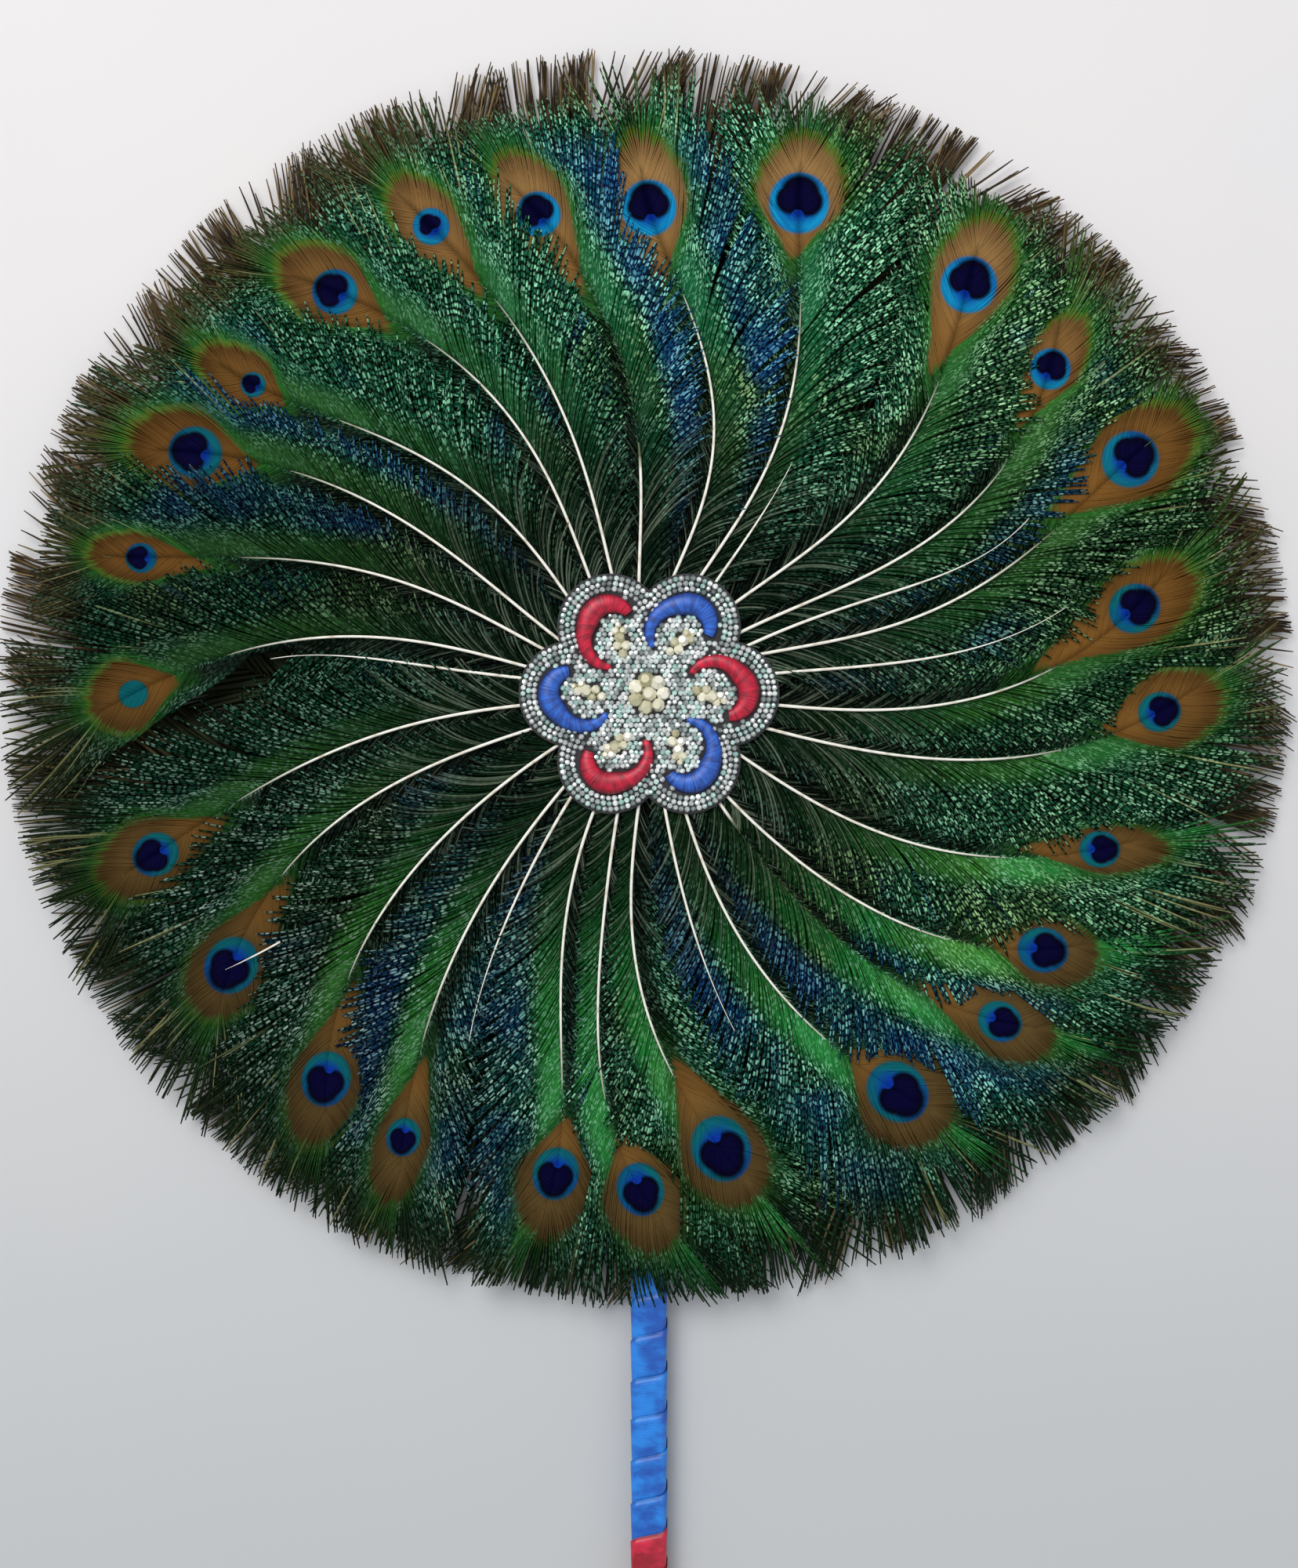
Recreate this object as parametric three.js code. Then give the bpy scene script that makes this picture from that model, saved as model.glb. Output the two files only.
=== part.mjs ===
// Round peacock-feather hand fan: two layers of feathers on a wooden hub, a ribbon-wrapped stick
// and an embroidered flower patch. Millimetres, +Z up. The fan lies on its back, so +Z is its front face
// and +Y points away from the handle. The origin is the centre of the back patch's flat underside.
import * as THREE from "three";

// Driving dimensions of the fan and its stick
const fanRadius = 200;
const handleTrim = 12;
const stickButtReach = 350;
const stickTopReach = 14;
const stickWidth = 10.4;
const stickThickness = 4.6;
const stickCorner = 1.5;
const hubRadius = 30;

// Clearances: glued seats, ribbon turns, and feathers that lie over one another or over the handle
const seatGap = 0.3;
const turnGap = 0.5;
const layGap = 0.4;

// Feathers: quill and shaft diameters, and the half widths of the vane along its length
const quillDiameter = 2.2;
const shaftTipDiameter = 0.7;
const quillStartRadius = 18;
const vaneStartRadius = 43;
const vaneThickness = 0.6;
const eyeRadius = 156;
const bellyRadius = 172;
const vaneRootHalfWidth = 5;
const frontBellyHalfWidth = 26;
const frontTipHalfWidth = 24;
const rearBellyHalfWidth = 33;
const rearTipHalfWidth = 30;
const barbNotch = 2;

// Lay of the feathers: where each front eye points, in degrees anticlockwise from +X, as laid by hand
const frontEyeBearings = [
  10, 26, 39, 52, 73, 90, 103, 115, 128, 142, 152, 165, 180,
  198, 213, 230, 241, 259, 269, 279, 302, 317, 327, 341, 358,
];
const rearFeatherCount = 20;
const swirlAngle = 15.5;
const swirlPower = 2.2;
// How far the line of a quill passes beside the hub's centre.
const quillOffset = 3;

// Ribbon wound round the stick, blue above and red below
const ribbonThickness = 0.5;
const ribbonPitch = 12.5;
const blueTurns = 18;
const ribbonEndMargin = 4;

// Flower patch, its beaded border, its padded crescents and its gold centre
const lobeCount = 6;
const lobeRadius = 16.5;
const lobeCentreRadius = 24;
const patchThickness = 1.2;
const backPatchRadius = 38;
const backPatchThickness = 1.4;
const borderWidth = 4.2;
const borderHeight = 1.7;
const crescentInnerRadius = 7;
const crescentTailRadius = 12.5;
const crescentWidth = 5.4;
const crescentHeight = 3;
const crescentSweep = 235;
const crescentLean = 34;
const flowerRadius = 7.4;
const flowerPetalDepth = 1.1;
const flowerHeight = 2.6;
const flowerPetals = 8;

// Facets
const frontTeeth = 6;
const rearTeeth = 4;
const arcSteps = 7;

const radians = THREE.MathUtils.degToRad;
const quillRadius = quillDiameter / 2;

// Lay of one layer: each feather rises over its clockwise neighbour by a vane and its gap
const layRise = (spacing) => (vaneThickness + layGap) / spacing;
const frontSpacings = frontEyeBearings.map((bearing, i) => {
  const next = frontEyeBearings[(i + 1) % frontEyeBearings.length];
  return radians((next - bearing + 360) % 360);
});
const frontRise = layRise(Math.min(...frontSpacings));
const rearSpacing = (2 * Math.PI) / rearFeatherCount;
const rearRise = layRise(rearSpacing);
const vaneDip = (rise, halfWidth) => (rise * halfWidth) / bellyRadius + vaneThickness / 2;

// Heights of the stack, from the back patch up to the flower
const rearPlane = backPatchThickness + seatGap + Math.max(quillRadius, vaneDip(rearRise, rearBellyHalfWidth));
const ribbonReach = stickThickness / 2 + seatGap + ribbonThickness;
const stickPlane = rearPlane + vaneDip(rearRise, rearBellyHalfWidth) + layGap + ribbonReach;
const frontPlane = stickPlane + ribbonReach + layGap + vaneDip(frontRise, frontBellyHalfWidth);
const hubBottom = rearPlane + quillRadius + seatGap;
const hubTop = frontPlane - quillRadius - seatGap;
const patchBottom = frontPlane + quillRadius + seatGap;
const trimBottom = patchBottom + patchThickness + seatGap;

const finish = (color, roughness, metalness = 0) =>
  new THREE.MeshStandardMaterial({ color, roughness, metalness });
const materials = {
  frontFeather: finish(0x1f5a34, 0.45, 0.2),
  rearFeather: finish(0x5a4a33, 0.7),
  wood: finish(0xc79a62, 0.7),
  blueRibbon: finish(0x1f63c8, 0.35),
  redRibbon: finish(0xb3163a, 0.35),
  patchCloth: finish(0x1a1a1e, 0.9),
  backCloth: finish(0x232a63, 0.9),
  crystal: finish(0xd5dfe2, 0.1, 0.1),
  gold: finish(0xc8b26a, 0.3, 0.8),
  redThread: finish(0xc01238, 0.5),
  blueThread: finish(0x2453c4, 0.5),
};

const fan = new THREE.Group();

function place(name, geometry, material) {
  const mesh = new THREE.Mesh(geometry, material);
  mesh.name = name;
  fan.add(mesh);
  return mesh;
}

// Joins rings of points that run anticlockwise about the way they travel into one closed solid.
// The flat outline of the first and last ring closes the ends.
function loft(rings, firstOutline, lastOutline) {
  const size = rings[0].length;
  const index = [];
  for (let k = 0; k + 1 < rings.length; k++) {
    for (let j = 0; j < size; j++) {
      const here = k * size + j;
      const beside = k * size + ((j + 1) % size);
      index.push(here, beside, beside + size, here, beside + size, here + size);
    }
  }
  const last = (rings.length - 1) * size;
  THREE.ShapeUtils.triangulateShape(firstOutline, []).forEach(([a, b, c]) => index.push(a, c, b));
  THREE.ShapeUtils.triangulateShape(lastOutline, []).forEach(([a, b, c]) =>
    index.push(last + a, last + b, last + c),
  );
  const geometry = new THREE.BufferGeometry().setFromPoints(rings.flat());
  geometry.setIndex(index);
  geometry.computeVertexNormals();
  return geometry;
}

// A flat plate of this outline, from one height up to another
function plate(shape, bottom, height, curveSegments = arcSteps) {
  const geometry = new THREE.ExtrudeGeometry(shape, { depth: height, bevelEnabled: false, curveSegments });
  geometry.translate(0, 0, bottom);
  return geometry;
}

// Feather shaft: its bearing swings round with the distance from the hub, and is the eye's bearing at the eye
function shaftBearing(eyeBearing, radius, turn) {
  const along = (radius - quillStartRadius) / (eyeRadius - quillStartRadius);
  const lag = radians(swirlAngle) * (1 - along ** swirlPower);
  return radians(eyeBearing) - turn * (lag - quillOffset * (1 / radius - 1 / eyeRadius));
}

function shaftRadius(radius) {
  const along = (radius - quillStartRadius) / (fanRadius - quillStartRadius);
  return THREE.MathUtils.lerp(quillRadius, shaftTipDiameter / 2, along);
}

// Rim: the feathers are cut to the fan's radius, and closer on the handle's side
function rimRadius(eyeBearing) {
  return fanRadius - handleTrim * Math.max(0, -Math.sin(radians(eyeBearing)));
}

// Half width of the vane: it opens from the bare quill to the belly round the eye and draws in at the trimmed rim
function vaneHalfWidth(radius, rim, bellyHalfWidth, tipHalfWidth) {
  if (radius <= bellyRadius) {
    const opening = THREE.MathUtils.smoothstep(radius, vaneStartRadius, bellyRadius);
    return THREE.MathUtils.lerp(vaneRootHalfWidth, bellyHalfWidth, opening);
  }
  const closing = (radius - bellyRadius) / (rim - bellyRadius);
  return tipHalfWidth + (bellyHalfWidth - tipHalfWidth) * Math.sqrt(1 - closing ** 2);
}

// Cross-section of a feather: a thin vane with the shaft as a ridge along its face
function featherOutline(halfWidth, ridge, face) {
  const sheet = vaneThickness / 2;
  const crest = 2 * ridge - sheet;
  const points = [
    [-halfWidth, -sheet],
    [halfWidth, -sheet],
    [halfWidth, sheet],
    [ridge, sheet],
    [ridge / 2, crest],
    [-ridge / 2, crest],
    [-ridge, sheet],
    [-halfWidth, sheet],
  ].map(([across, up]) => new THREE.Vector2(across, face * up));
  return face > 0 ? points : points.reverse();
}

// The bare quill has as many points as the vane's section, so that one loft makes the whole feather
function quillOutline(radius, face) {
  const angles = [225, 315, 0, 45, 75, 105, 135, 180];
  const points = angles.map((angle) => {
    const a = radians(angle);
    return new THREE.Vector2(radius * Math.cos(a), face * radius * Math.sin(a));
  });
  return face > 0 ? points : points.reverse();
}

// One feather on its layer: quill, shaft and vane, trimmed at the rim. The face is up on the front layer.
function feather({ eyeBearing, plane, rise, face, bellyHalfWidth, tipHalfWidth, teeth }) {
  const stations = [
    { radius: quillStartRadius, outline: quillOutline(quillRadius, face) },
    { radius: vaneStartRadius - 2 * quillDiameter, outline: quillOutline(shaftRadius(vaneStartRadius), face) },
  ];
  const steps = 2 * teeth;
  const rim = rimRadius(eyeBearing);
  for (let k = 0; k <= steps; k++) {
    const radius = THREE.MathUtils.lerp(vaneStartRadius, rim, k / steps);
    const full = vaneHalfWidth(radius, rim, bellyHalfWidth, tipHalfWidth);
    const notched = k % 2 === 1 ? Math.max(full - barbNotch, vaneRootHalfWidth) : full;
    stations.push({ radius, outline: featherOutline(notched, shaftRadius(radius), face) });
  }
  const rings = stations.map(({ radius, outline }) => {
    const shaft = shaftBearing(eyeBearing, radius, face);
    return outline.map(({ x: across, y: up }) => {
      const bearing = shaft + across / radius;
      const height = plane - (rise * across) / radius + up;
      return new THREE.Vector3(radius * Math.cos(bearing), radius * Math.sin(bearing), height);
    });
  });
  return loft(rings, stations[0].outline, stations.at(-1).outline);
}

function addFeathers() {
  const number = (i) => String(i + 1).padStart(2, "0");
  frontEyeBearings.forEach((eyeBearing, i) => {
    const geometry = feather({
      eyeBearing,
      plane: frontPlane,
      rise: frontRise,
      face: 1,
      bellyHalfWidth: frontBellyHalfWidth,
      tipHalfWidth: frontTipHalfWidth,
      teeth: frontTeeth,
    });
    place(`front_feather_${number(i)}`, geometry, materials.frontFeather);
  });
  for (let i = 0; i < rearFeatherCount; i++) {
    const geometry = feather({
      eyeBearing: (360 * (i + 0.5)) / rearFeatherCount,
      plane: rearPlane,
      rise: rearRise,
      face: -1,
      bellyHalfWidth: rearBellyHalfWidth,
      tipHalfWidth: rearTipHalfWidth,
      teeth: rearTeeth,
    });
    place(`rear_feather_${number(i)}`, geometry, materials.rearFeather);
  }
}

// Hub: a wooden disc with a slot, open towards the handle, that the stick's end is glued into
function addHub() {
  const slotHalf = stickWidth / 2 + seatGap;
  const slotEnd = stickTopReach + seatGap;
  const mouth = Math.asin(slotHalf / hubRadius);
  const mouthDepth = hubRadius * Math.cos(mouth);
  const outline = new THREE.Shape();
  outline.moveTo(slotHalf, slotEnd);
  outline.lineTo(slotHalf, -mouthDepth);
  outline.absarc(0, 0, hubRadius, -Math.PI / 2 + mouth, (3 * Math.PI) / 2 - mouth, false);
  outline.lineTo(-slotHalf, slotEnd);
  outline.closePath();
  place("hub_disc", plate(outline, hubBottom, hubTop - hubBottom, 4 * arcSteps), materials.wood);
}

// Corner points of the stick's rounded section, grown outwards, anticlockwise seen along +Y with +X to the right
function stickRing(grow) {
  const half = new THREE.Vector2(stickWidth / 2 - stickCorner, stickThickness / 2 - stickCorner);
  const corners = [[1, 1, 0], [-1, 1, 90], [-1, -1, 180], [1, -1, 270]];
  return corners.flatMap(([sideX, sideZ, start]) =>
    [0, 45, 90].map((turn) => {
      const a = radians(start + turn);
      const reach = stickCorner + grow;
      return new THREE.Vector2(sideX * half.x + reach * Math.cos(a), sideZ * half.y + reach * Math.sin(a));
    }),
  );
}

function addStick() {
  const section = stickRing(0).map((p) => new THREE.Vector2(p.x, -p.y));
  const geometry = new THREE.ExtrudeGeometry(new THREE.Shape(section.reverse()), {
    depth: stickTopReach + stickButtReach,
    bevelEnabled: false,
  });
  geometry.rotateX(-Math.PI / 2);
  geometry.translate(0, -stickButtReach, stickPlane);
  place("handle_stick", geometry, materials.wood);
}

// Ribbon: one flat band wound down the stick without a break, a turn gap from turn to turn
function ribbon(firstTurn, lastTurn) {
  const inner = stickRing(seatGap);
  const outer = stickRing(seatGap + ribbonThickness);
  const perTurn = inner.length;
  const top = -(hubRadius + seatGap + ribbonPitch);
  const half = (ribbonPitch - turnGap) / 2;
  const outline = [[0, -half], [ribbonThickness, -half], [ribbonThickness, half], [0, half]];
  const rings = [];
  for (let step = Math.round(firstTurn * perTurn); step <= Math.round(lastTurn * perTurn); step++) {
    const middle = top - (ribbonPitch * step) / perTurn;
    const corner = ((step % perTurn) + perTurn) % perTurn;
    const [low, high] = [inner[corner], outer[corner]];
    rings.push(
      [[low, -half], [high, -half], [high, half], [low, half]].map(
        ([at, along]) => new THREE.Vector3(at.x, middle + along, stickPlane + at.y),
      ),
    );
  }
  const flat = outline.map(([x, y]) => new THREE.Vector2(x, y));
  return { geometry: loft(rings, flat, flat), rings };
}

// Least distance between the facing edges of one turn and the next, measured on the ribbon's own points
function leastTurnGap(rings) {
  const perTurn = stickRing(0).length;
  const gaps = rings.slice(perTurn).map((ring, i) => rings[i][1].distanceTo(ring[2]));
  return Math.min(...gaps);
}

function addRibbons() {
  const ribbonTop = hubRadius + seatGap + ribbonPitch;
  const allTurns = (stickButtReach - ribbonEndMargin - ribbonTop) / ribbonPitch - 0.5;
  const blue = ribbon(0, blueTurns);
  const stepGap = 1 / stickRing(0).length;
  const red = ribbon(blueTurns + stepGap, allTurns);
  place("blue_ribbon", blue.geometry, materials.blueRibbon);
  place("red_ribbon", red.geometry, materials.redRibbon);
  for (const [name, { rings }] of Object.entries({ blue, red })) {
    console.log(`${name} ribbon: least gap between turns ${leastTurnGap(rings).toFixed(2)} mm`);
  }
}

// Outline points of round lobes set on a circle, drawn in from the patch's edge by an inset
function lobedPoints(inset) {
  const radius = lobeRadius - inset;
  const half = Math.PI / lobeCount;
  const spread = Math.PI / 2 + half - Math.acos((lobeCentreRadius * Math.sin(half)) / radius);
  const steps = 2 * arcSteps;
  const points = [];
  for (let k = 0; k < lobeCount * steps; k++) {
    const bearing = 2 * half * Math.floor(k / steps);
    const heading = bearing + spread * ((2 * (k % steps)) / steps - 1);
    const x = lobeCentreRadius * Math.cos(bearing) + radius * Math.cos(heading);
    const y = lobeCentreRadius * Math.sin(bearing) + radius * Math.sin(heading);
    points.push(new THREE.Vector2(x, y));
  }
  return points;
}

function addPatches() {
  const patch = new THREE.Shape(lobedPoints(0));
  place("front_patch", plate(patch, patchBottom, patchThickness), materials.patchCloth);
  const border = new THREE.Shape(lobedPoints(0));
  border.holes.push(new THREE.Path(lobedPoints(borderWidth)));
  place("crystal_border", plate(border, trimBottom, borderHeight), materials.crystal);
  const back = new THREE.Shape().absarc(0, 0, backPatchRadius, 0, 2 * Math.PI, false);
  place("back_patch", plate(back, 0, backPatchThickness, 4 * arcSteps), materials.backCloth);
}

// A padded comma on one lobe: round over the lobe's outside, with a tail that runs in to the flower
function crescent(bearing) {
  const steps = 2 * arcSteps;
  const centre = new THREE.Vector2(lobeCentreRadius, 0).rotateAround(new THREE.Vector2(), bearing);
  const profile = [[-1, 0], [1, 0], [0.8, 0.6], [0.3, 1], [-0.3, 1], [-0.8, 0.6]];
  const outlines = [];
  const rings = [];
  for (let k = 0; k <= steps; k++) {
    const along = k / steps;
    const heading = bearing + radians(crescentLean + crescentSweep * (along - 0.5));
    const tail = THREE.MathUtils.smoothstep(along, 0.55, 1);
    const radius = THREE.MathUtils.lerp(crescentInnerRadius, crescentTailRadius, tail);
    const swell = Math.sin(Math.PI * THREE.MathUtils.lerp(0.12, 0.95, along)) ** 0.7;
    const outline = profile.map(
      ([across, up]) => new THREE.Vector2((across * swell * crescentWidth) / 2, up * swell * crescentHeight),
    );
    outlines.push(outline);
    rings.push(
      outline.map(({ x: across, y: up }) => {
        const reach = radius - across;
        return new THREE.Vector3(
          centre.x + reach * Math.cos(heading),
          centre.y + reach * Math.sin(heading),
          trimBottom + up,
        );
      }),
    );
  }
  return loft(rings, outlines[0], outlines.at(-1));
}

function addTrim() {
  for (let k = 0; k < lobeCount; k++) {
    const red = k % 2 === 0;
    const name = `${red ? "red" : "blue"}_crescent_${Math.floor(k / 2) + 1}`;
    place(name, crescent((2 * Math.PI * k) / lobeCount), red ? materials.redThread : materials.blueThread);
  }
  const petals = new THREE.Shape();
  const steps = flowerPetals * 6;
  for (let k = 0; k < steps; k++) {
    const a = (2 * Math.PI * k) / steps;
    const radius = flowerRadius - flowerPetalDepth * (0.5 - 0.5 * Math.cos(flowerPetals * a));
    petals.lineTo(radius * Math.cos(a), radius * Math.sin(a));
  }
  place("gold_centre", plate(petals, trimBottom, flowerHeight), materials.gold);
}

addFeathers();
addHub();
addStick();
addRibbons();
addPatches();
addTrim();

export default fan;
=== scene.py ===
"""Looks of a round peacock-feather hand fan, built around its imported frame.

The fan lies on its back, front face up, with its handle along -Y. Lengths are metres and angles are radians
unless a docstring says otherwise. The origin is the centre of the back patch, on the floor.
"""

import logging
import math
from dataclasses import dataclass, field
from enum import Enum
from typing import Any, Callable, Sequence

import bpy
import numpy as np
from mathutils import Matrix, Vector


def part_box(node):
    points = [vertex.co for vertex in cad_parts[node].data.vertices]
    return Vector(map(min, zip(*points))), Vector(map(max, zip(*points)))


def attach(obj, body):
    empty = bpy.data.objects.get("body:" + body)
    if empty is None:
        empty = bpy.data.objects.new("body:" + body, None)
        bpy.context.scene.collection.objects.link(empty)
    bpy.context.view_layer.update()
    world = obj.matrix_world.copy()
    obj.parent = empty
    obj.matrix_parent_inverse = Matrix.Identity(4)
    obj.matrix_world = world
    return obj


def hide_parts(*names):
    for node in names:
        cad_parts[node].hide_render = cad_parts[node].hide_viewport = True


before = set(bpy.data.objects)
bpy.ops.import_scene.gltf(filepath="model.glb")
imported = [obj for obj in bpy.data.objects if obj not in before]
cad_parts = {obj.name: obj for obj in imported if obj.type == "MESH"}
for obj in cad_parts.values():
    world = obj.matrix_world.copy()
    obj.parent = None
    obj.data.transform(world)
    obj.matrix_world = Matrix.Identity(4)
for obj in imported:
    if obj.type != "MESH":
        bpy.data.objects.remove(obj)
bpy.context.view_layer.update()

LOG = logging.getLogger("feather_fan")
MM = 0.001
TO_MM = 1000.0
"""Millimetres in a metre, for the materials, which see places in metres."""
BODY = "root"
UP = (0.0, 0.0, 1.0)
BAKE_MAP = "OFBake"
Colour = tuple[float, float, float]
Span = tuple[float, float]


def srgb(red: float, green: float, blue: float) -> Colour:
    """Turn display values from 0 to 255 into a linear colour.

    Args:
        red: Red value.
        green: Green value.
        blue: Blue value.

    Returns:
        The linear red, green and blue.
    """
    def linear(value: float) -> float:
        """Linear light of one display value."""
        share = value / 255.0
        return share / 12.92 if share <= 0.04045 else ((share + 0.055) / 1.055) ** 2.4

    return linear(red), linear(green), linear(blue)


def polar(radius: float, angle: float) -> Vector:
    """The x and y at a distance and a bearing from the middle."""
    return Vector((radius * math.cos(angle), radius * math.sin(angle)))


def polar_rows(radii: np.ndarray, angles: np.ndarray, height: float) -> np.ndarray:
    """Rows of x, y and z at distances and bearings from the middle."""
    return np.stack([radii * np.cos(angles), radii * np.sin(angles), np.full_like(radii, height)], axis=1)


def operator(name: str, reflected: bool = False) -> Callable[["Value", Any], "Value"]:
    """Make the method that stands behind one arithmetic sign.

    Args:
        name: What the Math and Vector Math nodes call the operation.
        reflected: Whether the value stands on the right of the sign.

    Returns:
        The method.
    """
    def method(self: "Value", other: Any) -> "Value":
        """Combine the value with the other operand."""
        pair = (other, self) if reflected else (self, other)
        return self.graph.combine(name, *pair)

    return method


class Value:
    """A node's output that takes part in Python arithmetic."""

    __add__, __radd__ = operator("ADD"), operator("ADD", reflected=True)
    __sub__, __rsub__ = operator("SUBTRACT"), operator("SUBTRACT", reflected=True)
    __mul__, __rmul__ = operator("MULTIPLY"), operator("MULTIPLY", reflected=True)
    __truediv__, __rtruediv__ = operator("DIVIDE"), operator("DIVIDE", reflected=True)
    __pow__ = operator("POWER")
    least, most = operator("MINIMUM"), operator("MAXIMUM")

    def __init__(self, graph: "Graph", socket: bpy.types.NodeSocket) -> None:
        """Wrap one output socket of a graph."""
        self.graph = graph
        self.socket = socket

    @property
    def is_vector(self) -> bool:
        """Whether the socket carries a vector."""
        return self.socket.type == "VECTOR"

    def __neg__(self) -> "Value":
        """Opposite."""
        return self * -1.0

    def apply(self, operation: str) -> "Value":
        """One-sided Math operation, such as SINE, FLOOR or SQRT."""
        return self.graph.node("ShaderNodeMath", {"operation": operation}, {0: self})

    def wave(self, rate: float) -> "Value":
        """Even waves from 0 to 1, with a rate of radians for each step of 1."""
        return (self * rate).apply("SINE") * 0.5 + 0.5

    def dot(self, other: Any) -> "Value":
        """Dot product of two vectors."""
        settings = {"operation": "DOT_PRODUCT"}
        return self.graph.node("ShaderNodeVectorMath", settings, {0: self, 1: other}, "Value")

    def length(self) -> "Value":
        """Length of a vector."""
        return self.graph.node("ShaderNodeVectorMath", {"operation": "LENGTH"}, {0: self}, "Value")

    def part(self, axis: str) -> "Value":
        """The X, Y or Z of a vector."""
        return self.graph.node("ShaderNodeSeparateXYZ", {}, {0: self}, axis)

    def ease(self, low: Any, high: Any) -> "Value":
        """Smooth step from 0 at low to 1 at high; low may be the larger."""
        settings = {"interpolation_type": "SMOOTHSTEP", "clamp": True}
        return self.graph.node("ShaderNodeMapRange", settings, {0: self, 1: low, 2: high})


class Graph:
    """A node tree that is written as Python expressions."""

    def __init__(self, tree: bpy.types.NodeTree) -> None:
        """Wrap a shader or geometry tree."""
        self.tree = tree

    def feed(self, socket: bpy.types.NodeSocket, value: Any) -> None:
        """Link a value into a socket, or set the socket's own value.

        Args:
            socket: The input to fill.
            value: A Value, a list of Values for a joining socket, or plain data.
        """
        if isinstance(value, Value):
            self.tree.links.new(value.socket, socket)
        elif isinstance(value, list):
            for each in value:
                self.feed(socket, each)
        elif socket.type == "RGBA" and len(value) == 3:
            socket.default_value = (*value, 1.0)
        else:
            socket.default_value = value

    def node(
        self, kind: str, settings: dict[str, Any] | None = None, inputs: dict[Any, Any] | None = None,
        out: int | str = 0,
    ) -> Value:
        """Add a node: its settings first, then what its sockets hold.

        Args:
            kind: Blender's name of the node type.
            settings: Properties of the node.
            inputs: Values or links by the socket's name or number.
            out: The output to return.

        Returns:
            The chosen output.
        """
        made = self.tree.nodes.new(kind)
        for name, value in (settings or {}).items():
            setattr(made, name, value)
        for key, value in (inputs or {}).items():
            self.feed(made.inputs[key], value)
        return Value(self, made.outputs[out])

    def combine(self, operation: str, first: Any, second: Any) -> Value:
        """Two-sided Math or Vector Math node, as the operands need.

        Args:
            operation: Name shared by both node types.
            first: Left operand.
            second: Right operand.

        Returns:
            The result.
        """
        vectors = [
            each.is_vector if isinstance(each, Value) else isinstance(each, tuple) for each in (first, second)
        ]
        kind = "ShaderNodeVectorMath" if any(vectors) else "ShaderNodeMath"
        if operation == "MULTIPLY" and vectors[0] != vectors[1]:
            vector, number = (first, second) if vectors[0] else (second, first)
            return self.node(kind, {"operation": "SCALE"}, {"Vector": vector, "Scale": number})
        return self.node(kind, {"operation": operation}, {0: first, 1: second})

    def between(self, share: Any, first: Any, second: Any) -> Value:
        """Number that goes from the first to the second as share goes from 0 to 1."""
        return self.node("ShaderNodeMix", {"data_type": "FLOAT"}, {0: share, 2: first, 3: second})

    def vector(self, x: Any = 0.0, y: Any = 0.0, z: Any = 0.0) -> Value:
        """Vector of three numbers."""
        return self.node("ShaderNodeCombineXYZ", {}, {"X": x, "Y": y, "Z": z})

    def noise(self, place: Any, scale: float, detail: float = 2.0) -> Value:
        """Smooth noise from 0 to 1 at a place."""
        return self.node("ShaderNodeTexNoise", {}, {"Vector": place, "Scale": scale, "Detail": detail})


class Paint(Graph):
    """A material: one Principled shader and the expressions that feed it."""

    def __init__(self, name: str) -> None:
        """Make the material and its shader.

        Args:
            name: Name of the material.
        """
        self.material = bpy.data.materials.new(name)
        self.material.use_nodes = True
        super().__init__(self.material.node_tree)
        self.tree.nodes.clear()
        output = self.tree.nodes.new("ShaderNodeOutputMaterial")
        self.shader = self.tree.nodes.new("ShaderNodeBsdfPrincipled")
        self.tree.links.new(self.shader.outputs[0], output.inputs["Surface"])

    def surface(self, **sockets: Any) -> None:
        """Fill the shader's sockets; an underscore stands for a space."""
        for name, value in sockets.items():
            self.feed(self.shader.inputs[name.replace("_", " ")], value)

    def trait(self, name: str, out: str = "Fac") -> Value:
        """A number stored on the mesh, or a vector if out is Vector."""
        return self.node("ShaderNodeAttribute", {"attribute_name": name}, out=out)

    def place(self) -> Value:
        """Position on the object."""
        return self.node("ShaderNodeTexCoord", out="Object")

    def blend(self, share: Any, first: Any, second: Any) -> Value:
        """Colour that goes from the first to the second as share goes from 0 to 1."""
        settings = {"data_type": "RGBA", "clamp_factor": True}
        return self.node("ShaderNodeMix", settings, {0: share, 6: first, 7: second}, 2)

    def shade(self, colour: Any, share: Any) -> Value:
        """Colour multiplied by a number.

        Args:
            colour: The colour.
            share: The number.

        Returns:
            The product.
        """
        dark = self.node("ShaderNodeCombineColor", {}, {"Red": share, "Green": share, "Blue": share})
        settings = {"data_type": "RGBA", "blend_type": "MULTIPLY"}
        return self.node("ShaderNodeMix", settings, {0: 1.0, 6: colour, 7: dark}, 2)

    def spark(self, seed: Value) -> Value:
        """Random number from 0 to 1 that changes with every step of the seed."""
        return self.node("ShaderNodeTexWhiteNoise", {"noise_dimensions": "1D"}, {"W": seed}, "Value")

    def relief(self, height: Value, depth: float, strength: float = 1.0) -> None:
        """Bump the surface by a height from 0 to 1, so many metres deep."""
        inputs = {"Height": height, "Distance": depth, "Strength": strength}
        self.feed(self.shader.inputs["Normal"], self.node("ShaderNodeBump", {}, inputs))


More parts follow.
